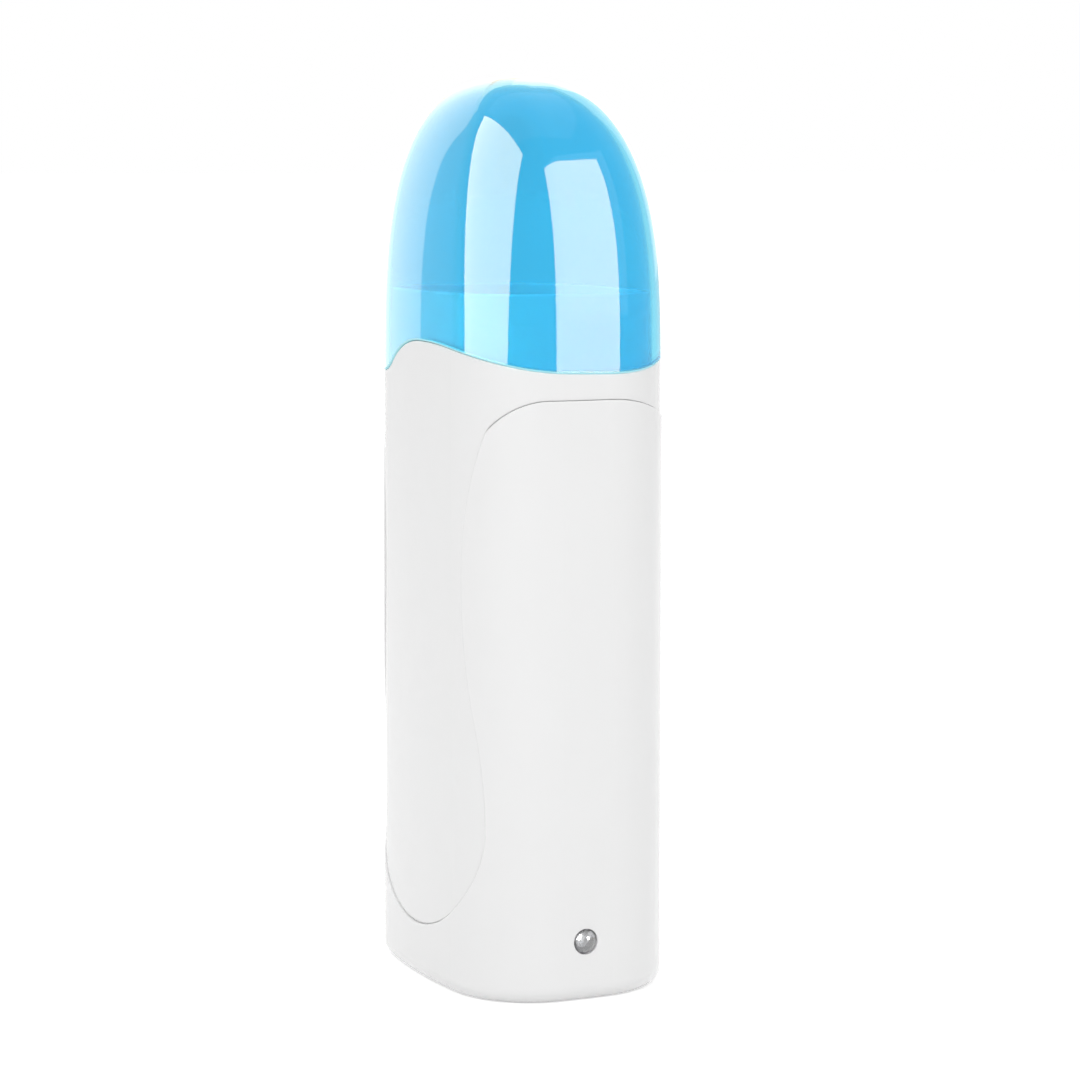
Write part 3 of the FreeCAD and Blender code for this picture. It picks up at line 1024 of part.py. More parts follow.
inlet_pins = group("inlet_pins", [
    turned("inlet_pin_" + side, [
        ("0", "0"), ("Sizes.pin_radius - Sizes.pin_nose", "0"),
        ("Sizes.pin_radius", "Sizes.pin_nose_length"), ("Sizes.pin_radius", PIN_NECK),
        ("Sizes.pin_neck_radius", PIN_NECK), ("Sizes.pin_neck_radius", PIN_BACK),
        ("Sizes.pin_flange_radius", PIN_BACK), ("Sizes.pin_flange_radius", PIN_FLANGE),
        ("Sizes.pin_neck_radius", PIN_FLANGE), ("Sizes.pin_neck_radius", PIN_LENGTH),
        ("0", PIN_LENGTH)],
        (x, "0", CAVITY_TOP + " - Sizes.pin_reach"), "+z")
    for side, x in (("right", "Sizes.pin_pitch / 2"), ("left", "-Sizes.pin_pitch / 2"))])

# ---------------------------------------------------------------- indicator lamp
LED_FRONT = "(Sizes.body_width / 2 + Sizes.led_proud)"
LED_BACK = "(%s - Sizes.led_length)" % LED_FRONT
BOARD_FRONT = "(%s - Sizes.led_lead_length)" % LED_BACK
BOARD_BACK = "(%s - Sizes.board_thickness)" % BOARD_FRONT
BOARD_LOW = "(Sizes.led_height - Sizes.board_height / 2)"
led = new_body("led")
for word, radius, length in (("rim", "Sizes.led_rim_radius", "Sizes.led_rim_length"),
                             ("barrel", "Sizes.led_radius", "Sizes.led_length")):
    led_outline = body_sketch(led, "led_%s_outline" % word, "side", LED_BACK)
    circle(led_outline, "Sizes.led_y", "Sizes.led_height", radius)
    led_barrel = pad(led, led_outline, "led_" + word, length)
dress(led, "Fillet", "led_dome_round", led_barrel,
      lambda e: e.BoundBox.XMin > now(LED_FRONT) - TOUCH, "Radius", "Sizes.led_dome")
LEADS = [(word, "Sizes.led_y %s Sizes.led_lead_pitch / 2" % sign)
         for word, sign in (("a", "-"), ("b", "+"))]
led_leads = group("led_leads", [
    rod("led_lead_" + word, "Sizes.led_lead_radius",
        "Sizes.led_lead_length + Sizes.board_thickness + Sizes.lead_stub",
        (LED_BACK, y, "Sizes.led_height"), "-x") for word, y in LEADS])
board_blank = block("board_blank", (BOARD_BACK, "Sizes.led_y - Sizes.board_width / 2", BOARD_LOW),
                    (BOARD_FRONT, "Sizes.led_y + Sizes.board_width / 2",
                     "Sizes.led_height + Sizes.board_height / 2"))


def axial_part(name, radius, length, y, z):
    """A round component lying along Y on the inner face of the board, with bent leads."""
    x = "%s - (%s) - Sizes.part_stand" % (BOARD_BACK, radius)
    half = "(%s) / 2" % length
    pieces = [rod(name + "_barrel", radius, length, (x, "%s - %s" % (y, half), z), "+y")]
    for word, sign in (("a", "-"), ("b", "+")):
        end = "%s %s %s" % (y, sign, half)
        far = "%s %s Sizes.part_lead_length" % (end, sign)
        pieces.append(wire("%s_lead_%s" % (name, word), "level", ("0", "0", z),
                           [(x, end), (x, far), (BOARD_BACK, far)], "Sizes.part_lead_bend",
                           "Sizes.part_lead_radius", (x, end, z), "front"))
    return fuse(name, pieces)


led_board = cut("led_board", board_blank, group("board_holes", [
    rod("board_hole_" + word, "Sizes.led_lead_radius + Sizes.hole_gap", "2 * Sizes.board_thickness",
        (BOARD_FRONT + " + Sizes.hole_gap", y, "Sizes.led_height"), "-x") for word, y in LEADS]))
led_resistor = axial_part("led_resistor", "Sizes.resistor_radius", "Sizes.resistor_length",
                          "Sizes.led_y", "Sizes.led_height + Sizes.part_offset")
led_diode = axial_part("led_diode", "Sizes.diode_radius", "Sizes.diode_length",
                       "Sizes.led_y", "Sizes.led_height - Sizes.part_offset")

# two ribs standing on the base cover carry the board, whose lower edge drops into their slot
for word, sign in (("front", "-"), ("back", "+")):
    end = "Sizes.led_y %s Sizes.board_width / 2" % sign
    inner = "%s %s Sizes.cradle_hold" % (end, "+" if sign == "-" else "-")
    outer = "%s %s Sizes.cradle_wall" % (end, sign)
    low, high = (outer, inner) if sign == "-" else (inner, outer)
    rib_outline = body_sketch(base_cover, "cradle_%s_outline" % word, "level", COVER_TOP)
    rectangle(rib_outline, BOARD_BACK + " - Sizes.cradle_wall", BOARD_FRONT + " + Sizes.cradle_wall",
              low, high)
    pad(base_cover, rib_outline, "cradle_" + word,
        "%s + Sizes.cradle_hold - %s" % (BOARD_LOW, COVER_TOP))
cradle_slot = body_sketch(base_cover, "cradle_slot_outline", "level", BOARD_LOW)
rectangle(cradle_slot, BOARD_BACK + " - Sizes.hole_gap", BOARD_FRONT + " + Sizes.hole_gap",
          "Sizes.led_y - Sizes.board_width / 2 - Sizes.hole_gap",
          "Sizes.led_y + Sizes.board_width / 2 + Sizes.hole_gap")
pocket(base_cover, cradle_slot, "cradle_slot", "Sizes.cradle_hold", reverse=True)

# ---------------------------------------------------------------- wiring
PIN_X = "(Sizes.pin_pitch / 2)"
PIN_TOP = "(%s + Sizes.pin_tail)" % INLET_TOP
LUG_LOW = "(%s + Sizes.pin_flange_height + Sizes.lug_rise)" % INLET_TOP
LUG_TOP = "(%s + Sizes.lug_cap)" % PIN_TOP
RUN_HEIGHT = "(%s + Sizes.wire_straight + Sizes.wire_bend)" % LUG_TOP
RISE_START = "(%s + Sizes.wire_bend + Sizes.wire_straight)" % RUN_HEIGHT
TAB_LOW = "(Sizes.pack_low - Sizes.tab_drop)"
FUSE_Y = "(%s + Sizes.fuse_radius + Sizes.hole_gap)" % PLATE_BACK
NEUTRAL_Y = "(%s - Sizes.tab_lug_wall - Sizes.hole_gap - Sizes.wire_radius)" % STONE_BACK


def pin_lug(side, x):
    """A round socket pushed over the tail of an inlet pin."""
    solid = rod("pin_lug_blank_" + side, "Sizes.lug_radius", "%s - %s" % (LUG_TOP, LUG_LOW),
                (x, "0", LUG_LOW), "+z")
    hole = rod("pin_lug_bore_" + side, "Sizes.pin_neck_radius + Sizes.hole_gap",
               "%s - %s + Sizes.hole_gap" % (PIN_TOP, LUG_LOW), (x, "0", LUG_LOW), "+z")
    return cut("pin_lug_" + side, solid, hole)


pin_lugs = group("pin_lugs", [pin_lug("right", PIN_X), pin_lug("left", "-" + PIN_X)])

# the live side runs through the fuse, which lies upright against the plate's lower end
live_wire = wire("live_wire", "side", ("-" + PIN_X, "0", "0"),
                 [("0", LUG_TOP), ("0", RUN_HEIGHT), (FUSE_Y, RUN_HEIGHT),
                  (FUSE_Y, RISE_START)],
                 "Sizes.wire_bend", "Sizes.wire_radius", ("-" + PIN_X, "0", LUG_TOP), "level")
FUSE_FAR = "(Sizes.fuse_lead_length + Sizes.fuse_length)"
FUSE_END = "(%s + Sizes.fuse_lead_length)" % FUSE_FAR
thermal_fuse = turned("thermal_fuse", [
    ("0", "0"), ("Sizes.fuse_lead_radius", "0"), ("Sizes.fuse_lead_radius", "Sizes.fuse_lead_length"),
    ("Sizes.fuse_radius", "Sizes.fuse_lead_length"), ("Sizes.fuse_radius", FUSE_FAR),
    ("Sizes.fuse_lead_radius", FUSE_FAR), ("Sizes.fuse_lead_radius", FUSE_END), ("0", FUSE_END)],
    ("-" + PIN_X, FUSE_Y, RISE_START), "+z")
neutral_wire = wire("neutral_wire", "side", (PIN_X, "0", "0"),
                    [("0", LUG_TOP), ("0", RUN_HEIGHT), (NEUTRAL_Y, RUN_HEIGHT),
                     (NEUTRAL_Y, TAB_LOW + " + Sizes.wire_end_rise")],
                    "Sizes.wire_bend", "Sizes.wire_radius", (PIN_X, "0", LUG_TOP), "level")


def tab_lug(side, x, low_y, high_y, wire_y, radius):
    """A connector pressed on an electrode's tab, with the wire's end in it."""
    solid = block("tab_lug_blank_" + side,
                  (x + " - Sizes.tab_lug_half", low_y, TAB_LOW + " + Sizes.tab_lug_wall"),
                  (x + " + Sizes.tab_lug_half", high_y,
                   TAB_LOW + " + Sizes.tab_lug_wall + Sizes.tab_lug_height"))
    hole = rod("tab_lug_bore_" + side, radius + " + Sizes.hole_gap", "2 * Sizes.tab_lug_height",
               (x, wire_y, TAB_LOW + " - Sizes.tab_lug_wall"), "+z")
    return cut("tab_lug_" + side, solid, hole)


tab_lugs = group("tab_lugs", [
    tab_lug("live", "-" + PIN_X, INNER_ELECTRODE_BACK,
            FUSE_Y + " + Sizes.fuse_lead_radius + Sizes.tab_lug_wall", FUSE_Y,
            "Sizes.fuse_lead_radius"),
    tab_lug("neutral", PIN_X,
            NEUTRAL_Y + " - Sizes.wire_radius - Sizes.hole_gap - Sizes.tab_lug_wall", STONE_BACK,
            NEUTRAL_Y, "Sizes.wire_radius")])

# two thin wires bring the lamp board its current from the same lugs
LAMP_WIRE_Z = "(%s + Sizes.board_height - Sizes.lamp_wire_drop)" % BOARD_LOW
LUG_SIDE = "(Sizes.lug_radius + Sizes.hole_gap)"
lamp_wires = group("lamp_wires", [
    wire("lamp_wire_" + word, "level", ("0", "0", LAMP_WIRE_Z),
         [(BOARD_BACK, y), (x, y), (x, stop)], "Sizes.lamp_wire_bend", "Sizes.lamp_wire_radius",
         (BOARD_BACK, y, LAMP_WIRE_Z), "side")
    for word, x, y, stop in (
        ("front", "-" + PIN_X, "(Sizes.led_y - Sizes.lamp_wire_offset)", "-" + LUG_SIDE),
        ("back", PIN_X, "(Sizes.led_y + Sizes.lamp_wire_offset)", LUG_SIDE))])

# ---------------------------------------------------------------- what is handed over
NODES = [
    front_housing, grip_shell, cap, cartridge_well, heat_plate, heater_film, inner_electrode,
    ptc_stones, outer_electrode, mica_sheet, heater_clamps, clamp_screws, cartridge_spring,
    spring_rivet, thermal_fuse, base_cover, base_screws, inlet_pins, led, led_leads, led_board,
    led_resistor, led_diode, pin_lugs, live_wire, neutral_wire, tab_lugs, lamp_wires,
]
doc.recompute()
for item in doc.Objects:
    if "Invalid" in item.State or "Error" in item.State:
        raise RuntimeError("%s did not build" % item.Label)
for node in NODES:
    if node.Shape.isNull() or not node.Shape.isValid() or not node.Shape.Solids:
        raise RuntimeError("%s has no sound shape" % node.Label)
    node.Shape.exportStep("parts/%s.step" % node.Label)
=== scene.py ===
import math

import bmesh
import bpy
from mathutils import Matrix, Vector


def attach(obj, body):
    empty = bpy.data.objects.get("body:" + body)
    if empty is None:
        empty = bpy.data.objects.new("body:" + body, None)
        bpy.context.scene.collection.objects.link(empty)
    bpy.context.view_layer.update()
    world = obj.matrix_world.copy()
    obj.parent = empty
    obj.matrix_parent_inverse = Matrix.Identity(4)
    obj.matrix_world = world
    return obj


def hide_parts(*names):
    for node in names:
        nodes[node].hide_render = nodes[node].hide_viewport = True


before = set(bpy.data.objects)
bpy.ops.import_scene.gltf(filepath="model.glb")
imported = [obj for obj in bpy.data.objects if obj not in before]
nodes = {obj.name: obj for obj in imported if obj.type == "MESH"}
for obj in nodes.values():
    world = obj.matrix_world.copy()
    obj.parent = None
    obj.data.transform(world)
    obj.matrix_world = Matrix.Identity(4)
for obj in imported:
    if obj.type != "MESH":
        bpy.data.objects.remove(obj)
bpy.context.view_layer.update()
scene = bpy.context.scene

# ------------------------------------------------------------------ viewpoint
# The heater stands on its base and is seen nearly level, with its narrow lamp side towards
# the viewer and the wide front face foreshortened at the left.
aim, eye_distance = Vector((0, 0, 0.11055)), 0.6648
turn, rise = math.radians(65.62), math.radians(4.87)
eye_line = Vector((math.sin(turn) * math.cos(rise), -math.cos(turn) * math.cos(rise),
                   math.sin(rise)))
lens = bpy.data.cameras.new("viewpoint")
lens.sensor_width = 36
lens.lens = 107.72
lens.shift_x = 0.0183
lens.shift_y = -0.0961
lens.clip_start = 0.05
viewpoint = bpy.data.objects.new("viewpoint", lens)
viewpoint.location = aim + eye_line * eye_distance
viewpoint.rotation_euler = (-eye_line).to_track_quat("-Z", "Y").to_euler()
scene.collection.objects.link(viewpoint)
scene.camera = viewpoint

# ------------------------------------------------------------------ floor and light
# A plain pale floor runs off into a white room, which lights everything evenly.  A narrow lamp
# lifts the front corner; broad ones stand past the lamp side, behind and above.
scene.view_settings.view_transform = "Standard"
white = (1, 1, 1, 1)
room_spread, floor_grey, floor_glow, floor_reach = 0.67, 0.86, 0.45, 40.0
behind_gain, behind_tint = 1.75, (1.0, 0.74, 1.0, 1)


def seen_rays(tree):
    """The light path node, and a factor that is 1 for what the viewer sees: straight ahead, in a
    reflection or through clear plastic."""
    path = tree.nodes.new("ShaderNodeLightPath")
    either, also = tree.nodes.new("ShaderNodeMath"), tree.nodes.new("ShaderNodeMath")
    either.operation = also.operation = "MAXIMUM"
    tree.links.new(path.outputs["Is Camera Ray"], either.inputs[0])
    tree.links.new(path.outputs["Is Transmission Ray"], either.inputs[1])
    tree.links.new(either.outputs[0], also.inputs[0])
    tree.links.new(path.outputs["Is Glossy Ray"], also.inputs[1])
    return path, also.outputs[0]


room = bpy.data.worlds.new("white_room")
room.use_nodes = True
scene.world = room
tree = room.node_tree
tree.nodes.clear()
out = tree.nodes.new("ShaderNodeOutputWorld")
seen, spread = tree.nodes.new("ShaderNodeBackground"), tree.nodes.new("ShaderNodeBackground")
choose = tree.nodes.new("ShaderNodeMixShader")
seen.inputs["Color"].default_value = white
spread.inputs["Color"].default_value = white
spread.inputs["Strength"].default_value = room_spread
path, viewed = seen_rays(tree)
tree.links.new(viewed, choose.inputs[0])
tree.links.new(spread.outputs[0], choose.inputs[1])
tree.links.new(seen.outputs[0], choose.inputs[2])
# What stands behind the clear cap gets more of the room's light, so that it isn't dull.
behind, gain = tree.nodes.new("ShaderNodeMath"), tree.nodes.new("ShaderNodeMath")
behind.operation = gain.operation = "MULTIPLY"
behind.use_clamp = True
gain.inputs[1].default_value = behind_gain
extra, total = tree.nodes.new("ShaderNodeBackground"), tree.nodes.new("ShaderNodeAddShader")
extra.inputs["Color"].default_value = behind_tint
tree.links.new(path.outputs["Is Transmission Ray"], behind.inputs[0])
tree.links.new(path.outputs["Diffuse Depth"], behind.inputs[1])
tree.links.new(behind.outputs[0], gain.inputs[0])
tree.links.new(gain.outputs[0], extra.inputs["Strength"])
tree.links.new(choose.outputs[0], total.inputs[0])
tree.links.new(extra.outputs[0], total.inputs[1])
tree.links.new(total.outputs[0], out.inputs["Surface"])

bm = bmesh.new()
bmesh.ops.create_grid(bm, x_segments=8, y_segments=8, size=floor_reach)
floor_mesh = bpy.data.meshes.new("floor")
bm.to_mesh(floor_mesh)
bm.free()
floor = bpy.data.objects.new("floor", floor_mesh)
scene.collection.objects.link(floor)
floor_paint = bpy.data.materials.new("floor_paint")
floor_paint.use_nodes = True
tree = floor_paint.node_tree
tree.nodes.clear()
out = tree.nodes.new("ShaderNodeOutputMaterial")
matt = tree.nodes.new("ShaderNodeBsdfDiffuse")
matt.inputs["Color"].default_value = (floor_grey, floor_grey, floor_grey, 1)
glow = tree.nodes.new("ShaderNodeEmission")
glow.inputs["Color"].default_value = white
path, viewed = seen_rays(tree)
lift = tree.nodes.new("ShaderNodeMath")
lift.operation = "MULTIPLY"
lift.inputs[1].default_value = floor_glow
tree.links.new(viewed, lift.inputs[0])
tree.links.new(lift.outputs[0], glow.inputs["Strength"])
both = tree.nodes.new("ShaderNodeAddShader")
tree.links.new(matt.outputs[0], both.inputs[0])
tree.links.new(glow.outputs[0], both.inputs[1])
tree.links.new(both.outputs[0], out.inputs["Surface"])
floor_mesh.materials.append(floor_paint)


def lamp(name, place, towards, width, height, power, only=None, tint=(1, 1, 1)):
    """A flat softbox out of sight.  Only names the collection that may show its reflection."""
    data = bpy.data.lights.new(name, "AREA")
    data.shape = "RECTANGLE"
    data.size, data.size_y = width, height
    data.energy = power
    data.color = tint
    box = bpy.data.objects.new(name, data)
    box.location = place
    box.rotation_euler = (Vector(towards) - Vector(place)).to_track_quat("-Z", "Y").to_euler()
    box.visible_camera = False
    box.visible_transmission = False
    scene.collection.objects.link(box)
    if only:
        box.visible_diffuse = False
        box.light_linking.receiver_collection = only
    return box


def around(angle, reach, height):
    """A place by its bearing in degrees from the wide front, its distance and its height."""
    a = math.radians(angle)
    return Vector((math.sin(a) * reach, -math.cos(a) * reach, height))


middle = (0, 0, 0.1)
left_lamp = lamp("left_lamp", around(44, 1.1, 0.75), middle, 0.3, 0.9, power=4.5)
lamp("right_lamp", around(125, 1.1, 0.6), middle, 0.8, 1.0, power=1.9)
lamp("back_lamp", around(225, 1.1, 0.6), middle, 0.8, 1.0, power=1.6)
lamp("top_lamp", (0, 0, 1.3), middle, 1.2, 1.2, power=1.5)

# ------------------------------------------------------------------ housing mouldings
# The front housing and the grip shell are injection-moulded in gloss white ABS.  They meet at
# the S-shaped seam, and the neck collar that shows through the cap belongs to the front one.


def new_finish(name):
    """An empty material with its tree and its plastic or metal shader."""
    finish = bpy.data.materials.new(name)
    finish.use_nodes = True
    return finish, finish.node_tree, finish.node_tree.nodes["Principled BSDF"]


def moulded_skin():
    """Group: the faint ripple and mottle of a moulded plastic surface."""
    group = bpy.data.node_groups.new("moulded_skin", "ShaderNodeTree")
    group.interface.new_socket("Ripple Scale", in_out="INPUT", socket_type="NodeSocketFloat")
    group.interface.new_socket("Mottle Scale", in_out="INPUT", socket_type="NodeSocketFloat")
    group.interface.new_socket("Height", in_out="OUTPUT", socket_type="NodeSocketFloat")
    group.interface.new_socket("Mottle", in_out="OUTPUT", socket_type="NodeSocketFloat")
    entry, leave = group.nodes.new("NodeGroupInput"), group.nodes.new("NodeGroupOutput")
    place = group.nodes.new("ShaderNodeTexCoord")
    ripple, mottle = group.nodes.new("ShaderNodeTexNoise"), group.nodes.new("ShaderNodeTexNoise")
    ripple.inputs["Detail"].default_value = 3
    mottle.inputs["Detail"].default_value = 6
    mottle.inputs["Roughness"].default_value = 0.62
    for texture, scale in ((ripple, "Ripple Scale"), (mottle, "Mottle Scale")):
        group.links.new(place.outputs["Object"], texture.inputs["Vector"])
        group.links.new(entry.outputs[scale], texture.inputs["Scale"])
    group.links.new(ripple.outputs["Fac"], leave.inputs["Height"])
    group.links.new(mottle.outputs["Fac"], leave.inputs["Mottle"])
    return group


moulded_skin_group = moulded_skin()


def moulded(name, light, dark, smooth, rough, ripple=900.0, mottle=70.0, bump=0.04, coat=0.0):
    """A moulded plastic whose colour and gloss drift slightly over the surface."""
    finish, tree, shader = new_finish(name)
    skin = tree.nodes.new("ShaderNodeGroup")
    skin.node_tree = moulded_skin_group
    skin.inputs["Ripple Scale"].default_value = ripple
    skin.inputs["Mottle Scale"].default_value = mottle
    tint = tree.nodes.new("ShaderNodeMix")
    tint.data_type = "RGBA"
    tint.inputs["A"].default_value = (*dark, 1)
    tint.inputs["B"].default_value = (*light, 1)
    gloss = tree.nodes.new("ShaderNodeMapRange")
    gloss.inputs["From Min"].default_value = 0.3
    gloss.inputs["From Max"].default_value = 0.7
    gloss.inputs["To Min"].default_value = smooth
    gloss.inputs["To Max"].default_value = rough
    relief = tree.nodes.new("ShaderNodeBump")
    relief.inputs["Strength"].default_value = bump
    relief.inputs["Distance"].default_value = 0.0002
    tree.links.new(skin.outputs["Mottle"], tint.inputs["Factor"])
    tree.links.new(tint.outputs["Result"], shader.inputs["Base Color"])
    tree.links.new(skin.outputs["Mottle"], gloss.inputs["Value"])
    tree.links.new(gloss.outputs["Result"], shader.inputs["Roughness"])
    tree.links.new(skin.outputs["Height"], relief.inputs["Height"])
    tree.links.new(relief.outputs["Normal"], shader.inputs["Normal"])
    shader.inputs["Coat Weight"].default_value = coat
    shader.inputs["Coat Roughness"].default_value = 0.06
    return finish


def dress_node(name, finish):
    """Give every slot of a solid the same finish."""
    for slot in nodes[name].material_slots:
        slot.material = finish


gloss_white = moulded("gloss_white", (0.86, 0.86, 0.86), (0.84, 0.84, 0.84), 0.22, 0.27, coat=0.25)
shader = gloss_white.node_tree.nodes["Principled BSDF"]
shader.inputs["Subsurface Weight"].default_value = 0.6
shader.inputs["Subsurface Radius"].default_value = (1.0, 1.0, 1.0)
shader.inputs["Subsurface Scale"].default_value = 0.0006
dress_node("front_housing", gloss_white)
dress_node("grip_shell", gloss_white)

# The front housing's tongue lies behind the seam and closes it, so that the joint reads as a
# shallow groove.  It follows the bib's outline on the wide face and the shoulder round the rest.
half_width, half_depth = 0.033, 0.024
corner_radius, face_radius, side_radius = 0.0185, 0.134, 0.126
tongue_inset, tongue_radius, seam_half = 0.00096, 0.00026, 0.000075
grip_top, front_round, back_round, front_y, back_y = 0.1201, 0.012, 0.030, -0.0205, 0.005
bib_bottom, hip_half, hip_radius, heel_radius = 0.0115, 0.0254, 0.022, 0.0293
flank_radius, waist_half, waist_z, chest_radius = 0.105, 0.0201, 0.084, 0.085
chest_drop, arc_steps = 0.008, 24


def corner_place():
    """Centre of the corner arc that touches the long face arc and the side arc."""
    x, y = half_width - corner_radius, half_depth - corner_radius
    for _ in range(30):
        to_face, to_side = y + face_radius - half_depth, x + side_radius - half_width
        face_reach, side_reach = math.hypot(x, to_face), math.hypot(to_side, y)
        face_miss = face_reach - face_radius + corner_radius
        side_miss = side_reach - side_radius + corner_radius
        a, b, c, d = x / face_reach, to_face / face_reach, to_side / side_reach, y / side_reach
        x -= (face_miss * d - side_miss * b) / (a * d - b * c)
        y -= (a * side_miss - c * face_miss) / (a * d - b * c)
    return x, y


def section_outline(inset, side_steps=14, corner_steps=26, face_steps=22):
    """Points round the crowned oblong section, counter-clockwise from the lamp side."""
    cx, cy = corner_place()
    low = math.atan2(cy, cx + side_radius - half_width)
    high = math.atan2(cy + face_radius - half_depth, cx)
    turn = math.pi
    points = []
    for x, y, radius, start, end, steps in (
            (half_width - side_radius, 0, side_radius, -low, low, side_steps),
            (cx, cy, corner_radius, low, high, corner_steps),
            (0, half_depth - face_radius, face_radius, high, turn - high, face_steps),
            (-cx, cy, corner_radius, turn - high, turn - low, corner_steps),
            (side_radius - half_width, 0, side_radius, turn - low, turn + low, side_steps),
            (-cx, -cy, corner_radius, turn + low, turn + high, corner_steps),
            (0, face_radius - half_depth, face_radius, turn + high, 2 * turn - high, face_steps),
            (cx, -cy, corner_radius, 2 * turn - high, 2 * turn - low, corner_steps)):
        for i in range(steps):
            angle = start + (end - start) * i / steps
            points.append((x + (radius - inset) * math.cos(angle),
                           y + (radius - inset) * math.sin(angle)))
    return points


def front_wall(x):
    """Depth of the tongue's middle behind the wide front, by its distance from the centre."""
    cx, cy = corner_place()
    if abs(x) < cx * (face_radius - tongue_inset) / (face_radius - corner_radius):
        return half_depth - face_radius + math.sqrt((face_radius - tongue_inset) ** 2 - x * x)
    return cy + math.sqrt((corner_radius - tongue_inset) ** 2 - (abs(x) - cx) ** 2)


def bib_side():
    """One side of the bib's outline in X and Z, from its lowest point to the shoulder."""
    heel_z = bib_bottom + heel_radius
    hip_z = heel_z - math.sqrt((heel_radius - hip_radius) ** 2 - (hip_half - hip_radius) ** 2)
    narrowing, climb = hip_half - waist_half, waist_z - hip_z
    waist_radius = (narrowing ** 2 + climb ** 2) / (2 * narrowing) - flank_radius
    heel_turn = math.atan2(hip_z - heel_z, hip_half - hip_radius)
    lean = math.atan2(climb, waist_half + waist_radius - hip_half + flank_radius)
    chest_turn = math.asin((grip_top - chest_drop - waist_z) / chest_radius)
    points = []
    for x, z, radius, start, end in (
            (0, heel_z, heel_radius - seam_half, -math.pi / 2, heel_turn),
            (hip_half - hip_radius, hip_z, hip_radius - seam_half, heel_turn, 0),
            (hip_half - flank_radius, hip_z, flank_radius - seam_half, 0, lean),
            (waist_half + waist_radius, waist_z, waist_radius + seam_half, math.pi + lean, math.pi),
            (waist_half + chest_radius, waist_z, chest_radius + seam_half, math.pi,
             math.pi - chest_turn)):
        for i in range(arc_steps):
            angle = start + (end - start) * i / arc_steps
            points.append((x + radius * math.cos(angle), z + radius * math.sin(angle)))
    return points


def shoulder_height(y):
    """Height of the grip shell's top edge, by its place from front to back."""
    if y < front_y + front_round:
        run = front_y + front_round - y
        return grip_top - front_round + math.sqrt(max(front_round ** 2 - run ** 2, 0)) + seam_half
    if y < back_y:
        return grip_top + seam_half
    return grip_top - back_round + math.sqrt(back_round ** 2 - (y - back_y) ** 2) + seam_half


right_side = [(x, -front_wall(x), z) for x, z in bib_side()]
bib_line = [(-x, y, z) for x, y, z in reversed(right_side)] + right_side[1:]
level = section_outline(tongue_inset)
first = next(i for i, (x, y) in enumerate(level) if y < front_y)
last = max(i for i, (x, y) in enumerate(level) if y < front_y)
shoulder_line = [(x, y, shoulder_height(y)) for x, y in level[last + 1:] + level[:first]]
tongue_path = bpy.data.curves.new("seam_tongue", "CURVE")
tongue_path.dimensions = "3D"
tongue_path.bevel_depth = tongue_radius
tongue_path.bevel_resolution = 2
for places in (bib_line, shoulder_line):
    spline = tongue_path.splines.new("POLY")
    spline.points.add(len(places) - 1)
    for point, place in zip(spline.points, places):
        point.co = (*place, 1)
tongue_path.materials.append(gloss_white)
seam_tongue = bpy.data.objects.new("seam_tongue", tongue_path)
scene.collection.objects.link(seam_tongue)
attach(seam_tongue, "housing")

# ------------------------------------------------------------------ cap
# The cap is a thin-walled dome, moulded in clear blue plastic and polished.  It slips over the
# neck collar and follows the housing's section, shrinking and leaning forward as it rises.
cap_set_in, cap_wall, cap_spring, cap_top, cap_lean = 0.0002, 0.0018, 0.122, 0.184, 0.0015
side_power, crown_power = 3.1, 2.5
line_gap, line_slope = 0.0001, 0.0012
peak_x, peak_z, dip_low = 0.0025, 0.1309, 0.1237
fall_radius, brow_radius, dip_radius = 0.092, 0.027, 0.012


def cap_line(x, y):
    """Height of the cap's lower edge: a long fall, a brow and a dip, lower at the back."""
    fall, brow, dip = fall_radius + line_gap, brow_radius + line_gap, dip_radius - line_gap
    brow_z, dip_z = peak_z - brow_radius, dip_low + dip_radius
    dip_x = peak_x - math.sqrt((brow + dip) ** 2 - (dip_z - brow_z) ** 2)
    meet_x = peak_x + (dip_x - peak_x) * brow / (brow + dip)
    if x >= peak_x:
        z = peak_z - fall_radius + math.sqrt(fall ** 2 - (x - peak_x) ** 2)
    elif x >= meet_x:
        z = brow_z + math.sqrt(brow ** 2 - (x - peak_x) ** 2)
    elif x >= dip_x:
        z = dip_z - math.sqrt(dip ** 2 - (x - dip_x) ** 2)
    else:
        z = dip_z - dip
    return z - line_slope * (y + half_depth) / (2 * half_depth)


outline = section_outline(cap_set_in)
rings = 72
bm = bmesh.new()
bmesh.ops.create_circle(bm, segments=len(outline), radius=half_width)
loop = list(bm.verts)
starts = []
for vert, (x, y) in zip(loop, outline):
    low = (cap_line(x, y) - cap_spring) / (cap_top - cap_spring)
    starts.append(math.asin(low ** (side_power / 2)))
edges = list(bm.edges)
for ring in range(rings):
    if ring:
        grown = bmesh.ops.extrude_edge_only(bm, edges=edges)["geom"]
        edges = [g for g in grown if isinstance(g, bmesh.types.BMEdge)
                 and not any(v in loop for v in g.verts)]
        fresh = {}
        for old in loop:
            for edge in old.link_edges:
                other = edge.other_vert(old)
                if other not in loop and abs((other.co - old.co).length) < 1e-9:
                    fresh[old] = other
        loop = [fresh[old] for old in loop]
    for vert, (x, y), start in zip(loop, outline, starts):
        angle = start + (math.pi / 2 - start) * ring / rings
        level = math.sin(angle) ** (2 / side_power)
        shrink = math.cos(angle) ** (2 / crown_power)
        vert.co = (x * shrink, y * shrink - cap_lean * level ** 4,
                   cap_spring + level * (cap_top - cap_spring))
crown = bmesh.ops.contextual_create(bm, geom=edges)["faces"]
bmesh.ops.poke(bm, faces=crown)
for vert in bm.verts:
    if len(vert.link_edges) > 8:
        vert.co = (0, -cap_lean, cap_top)
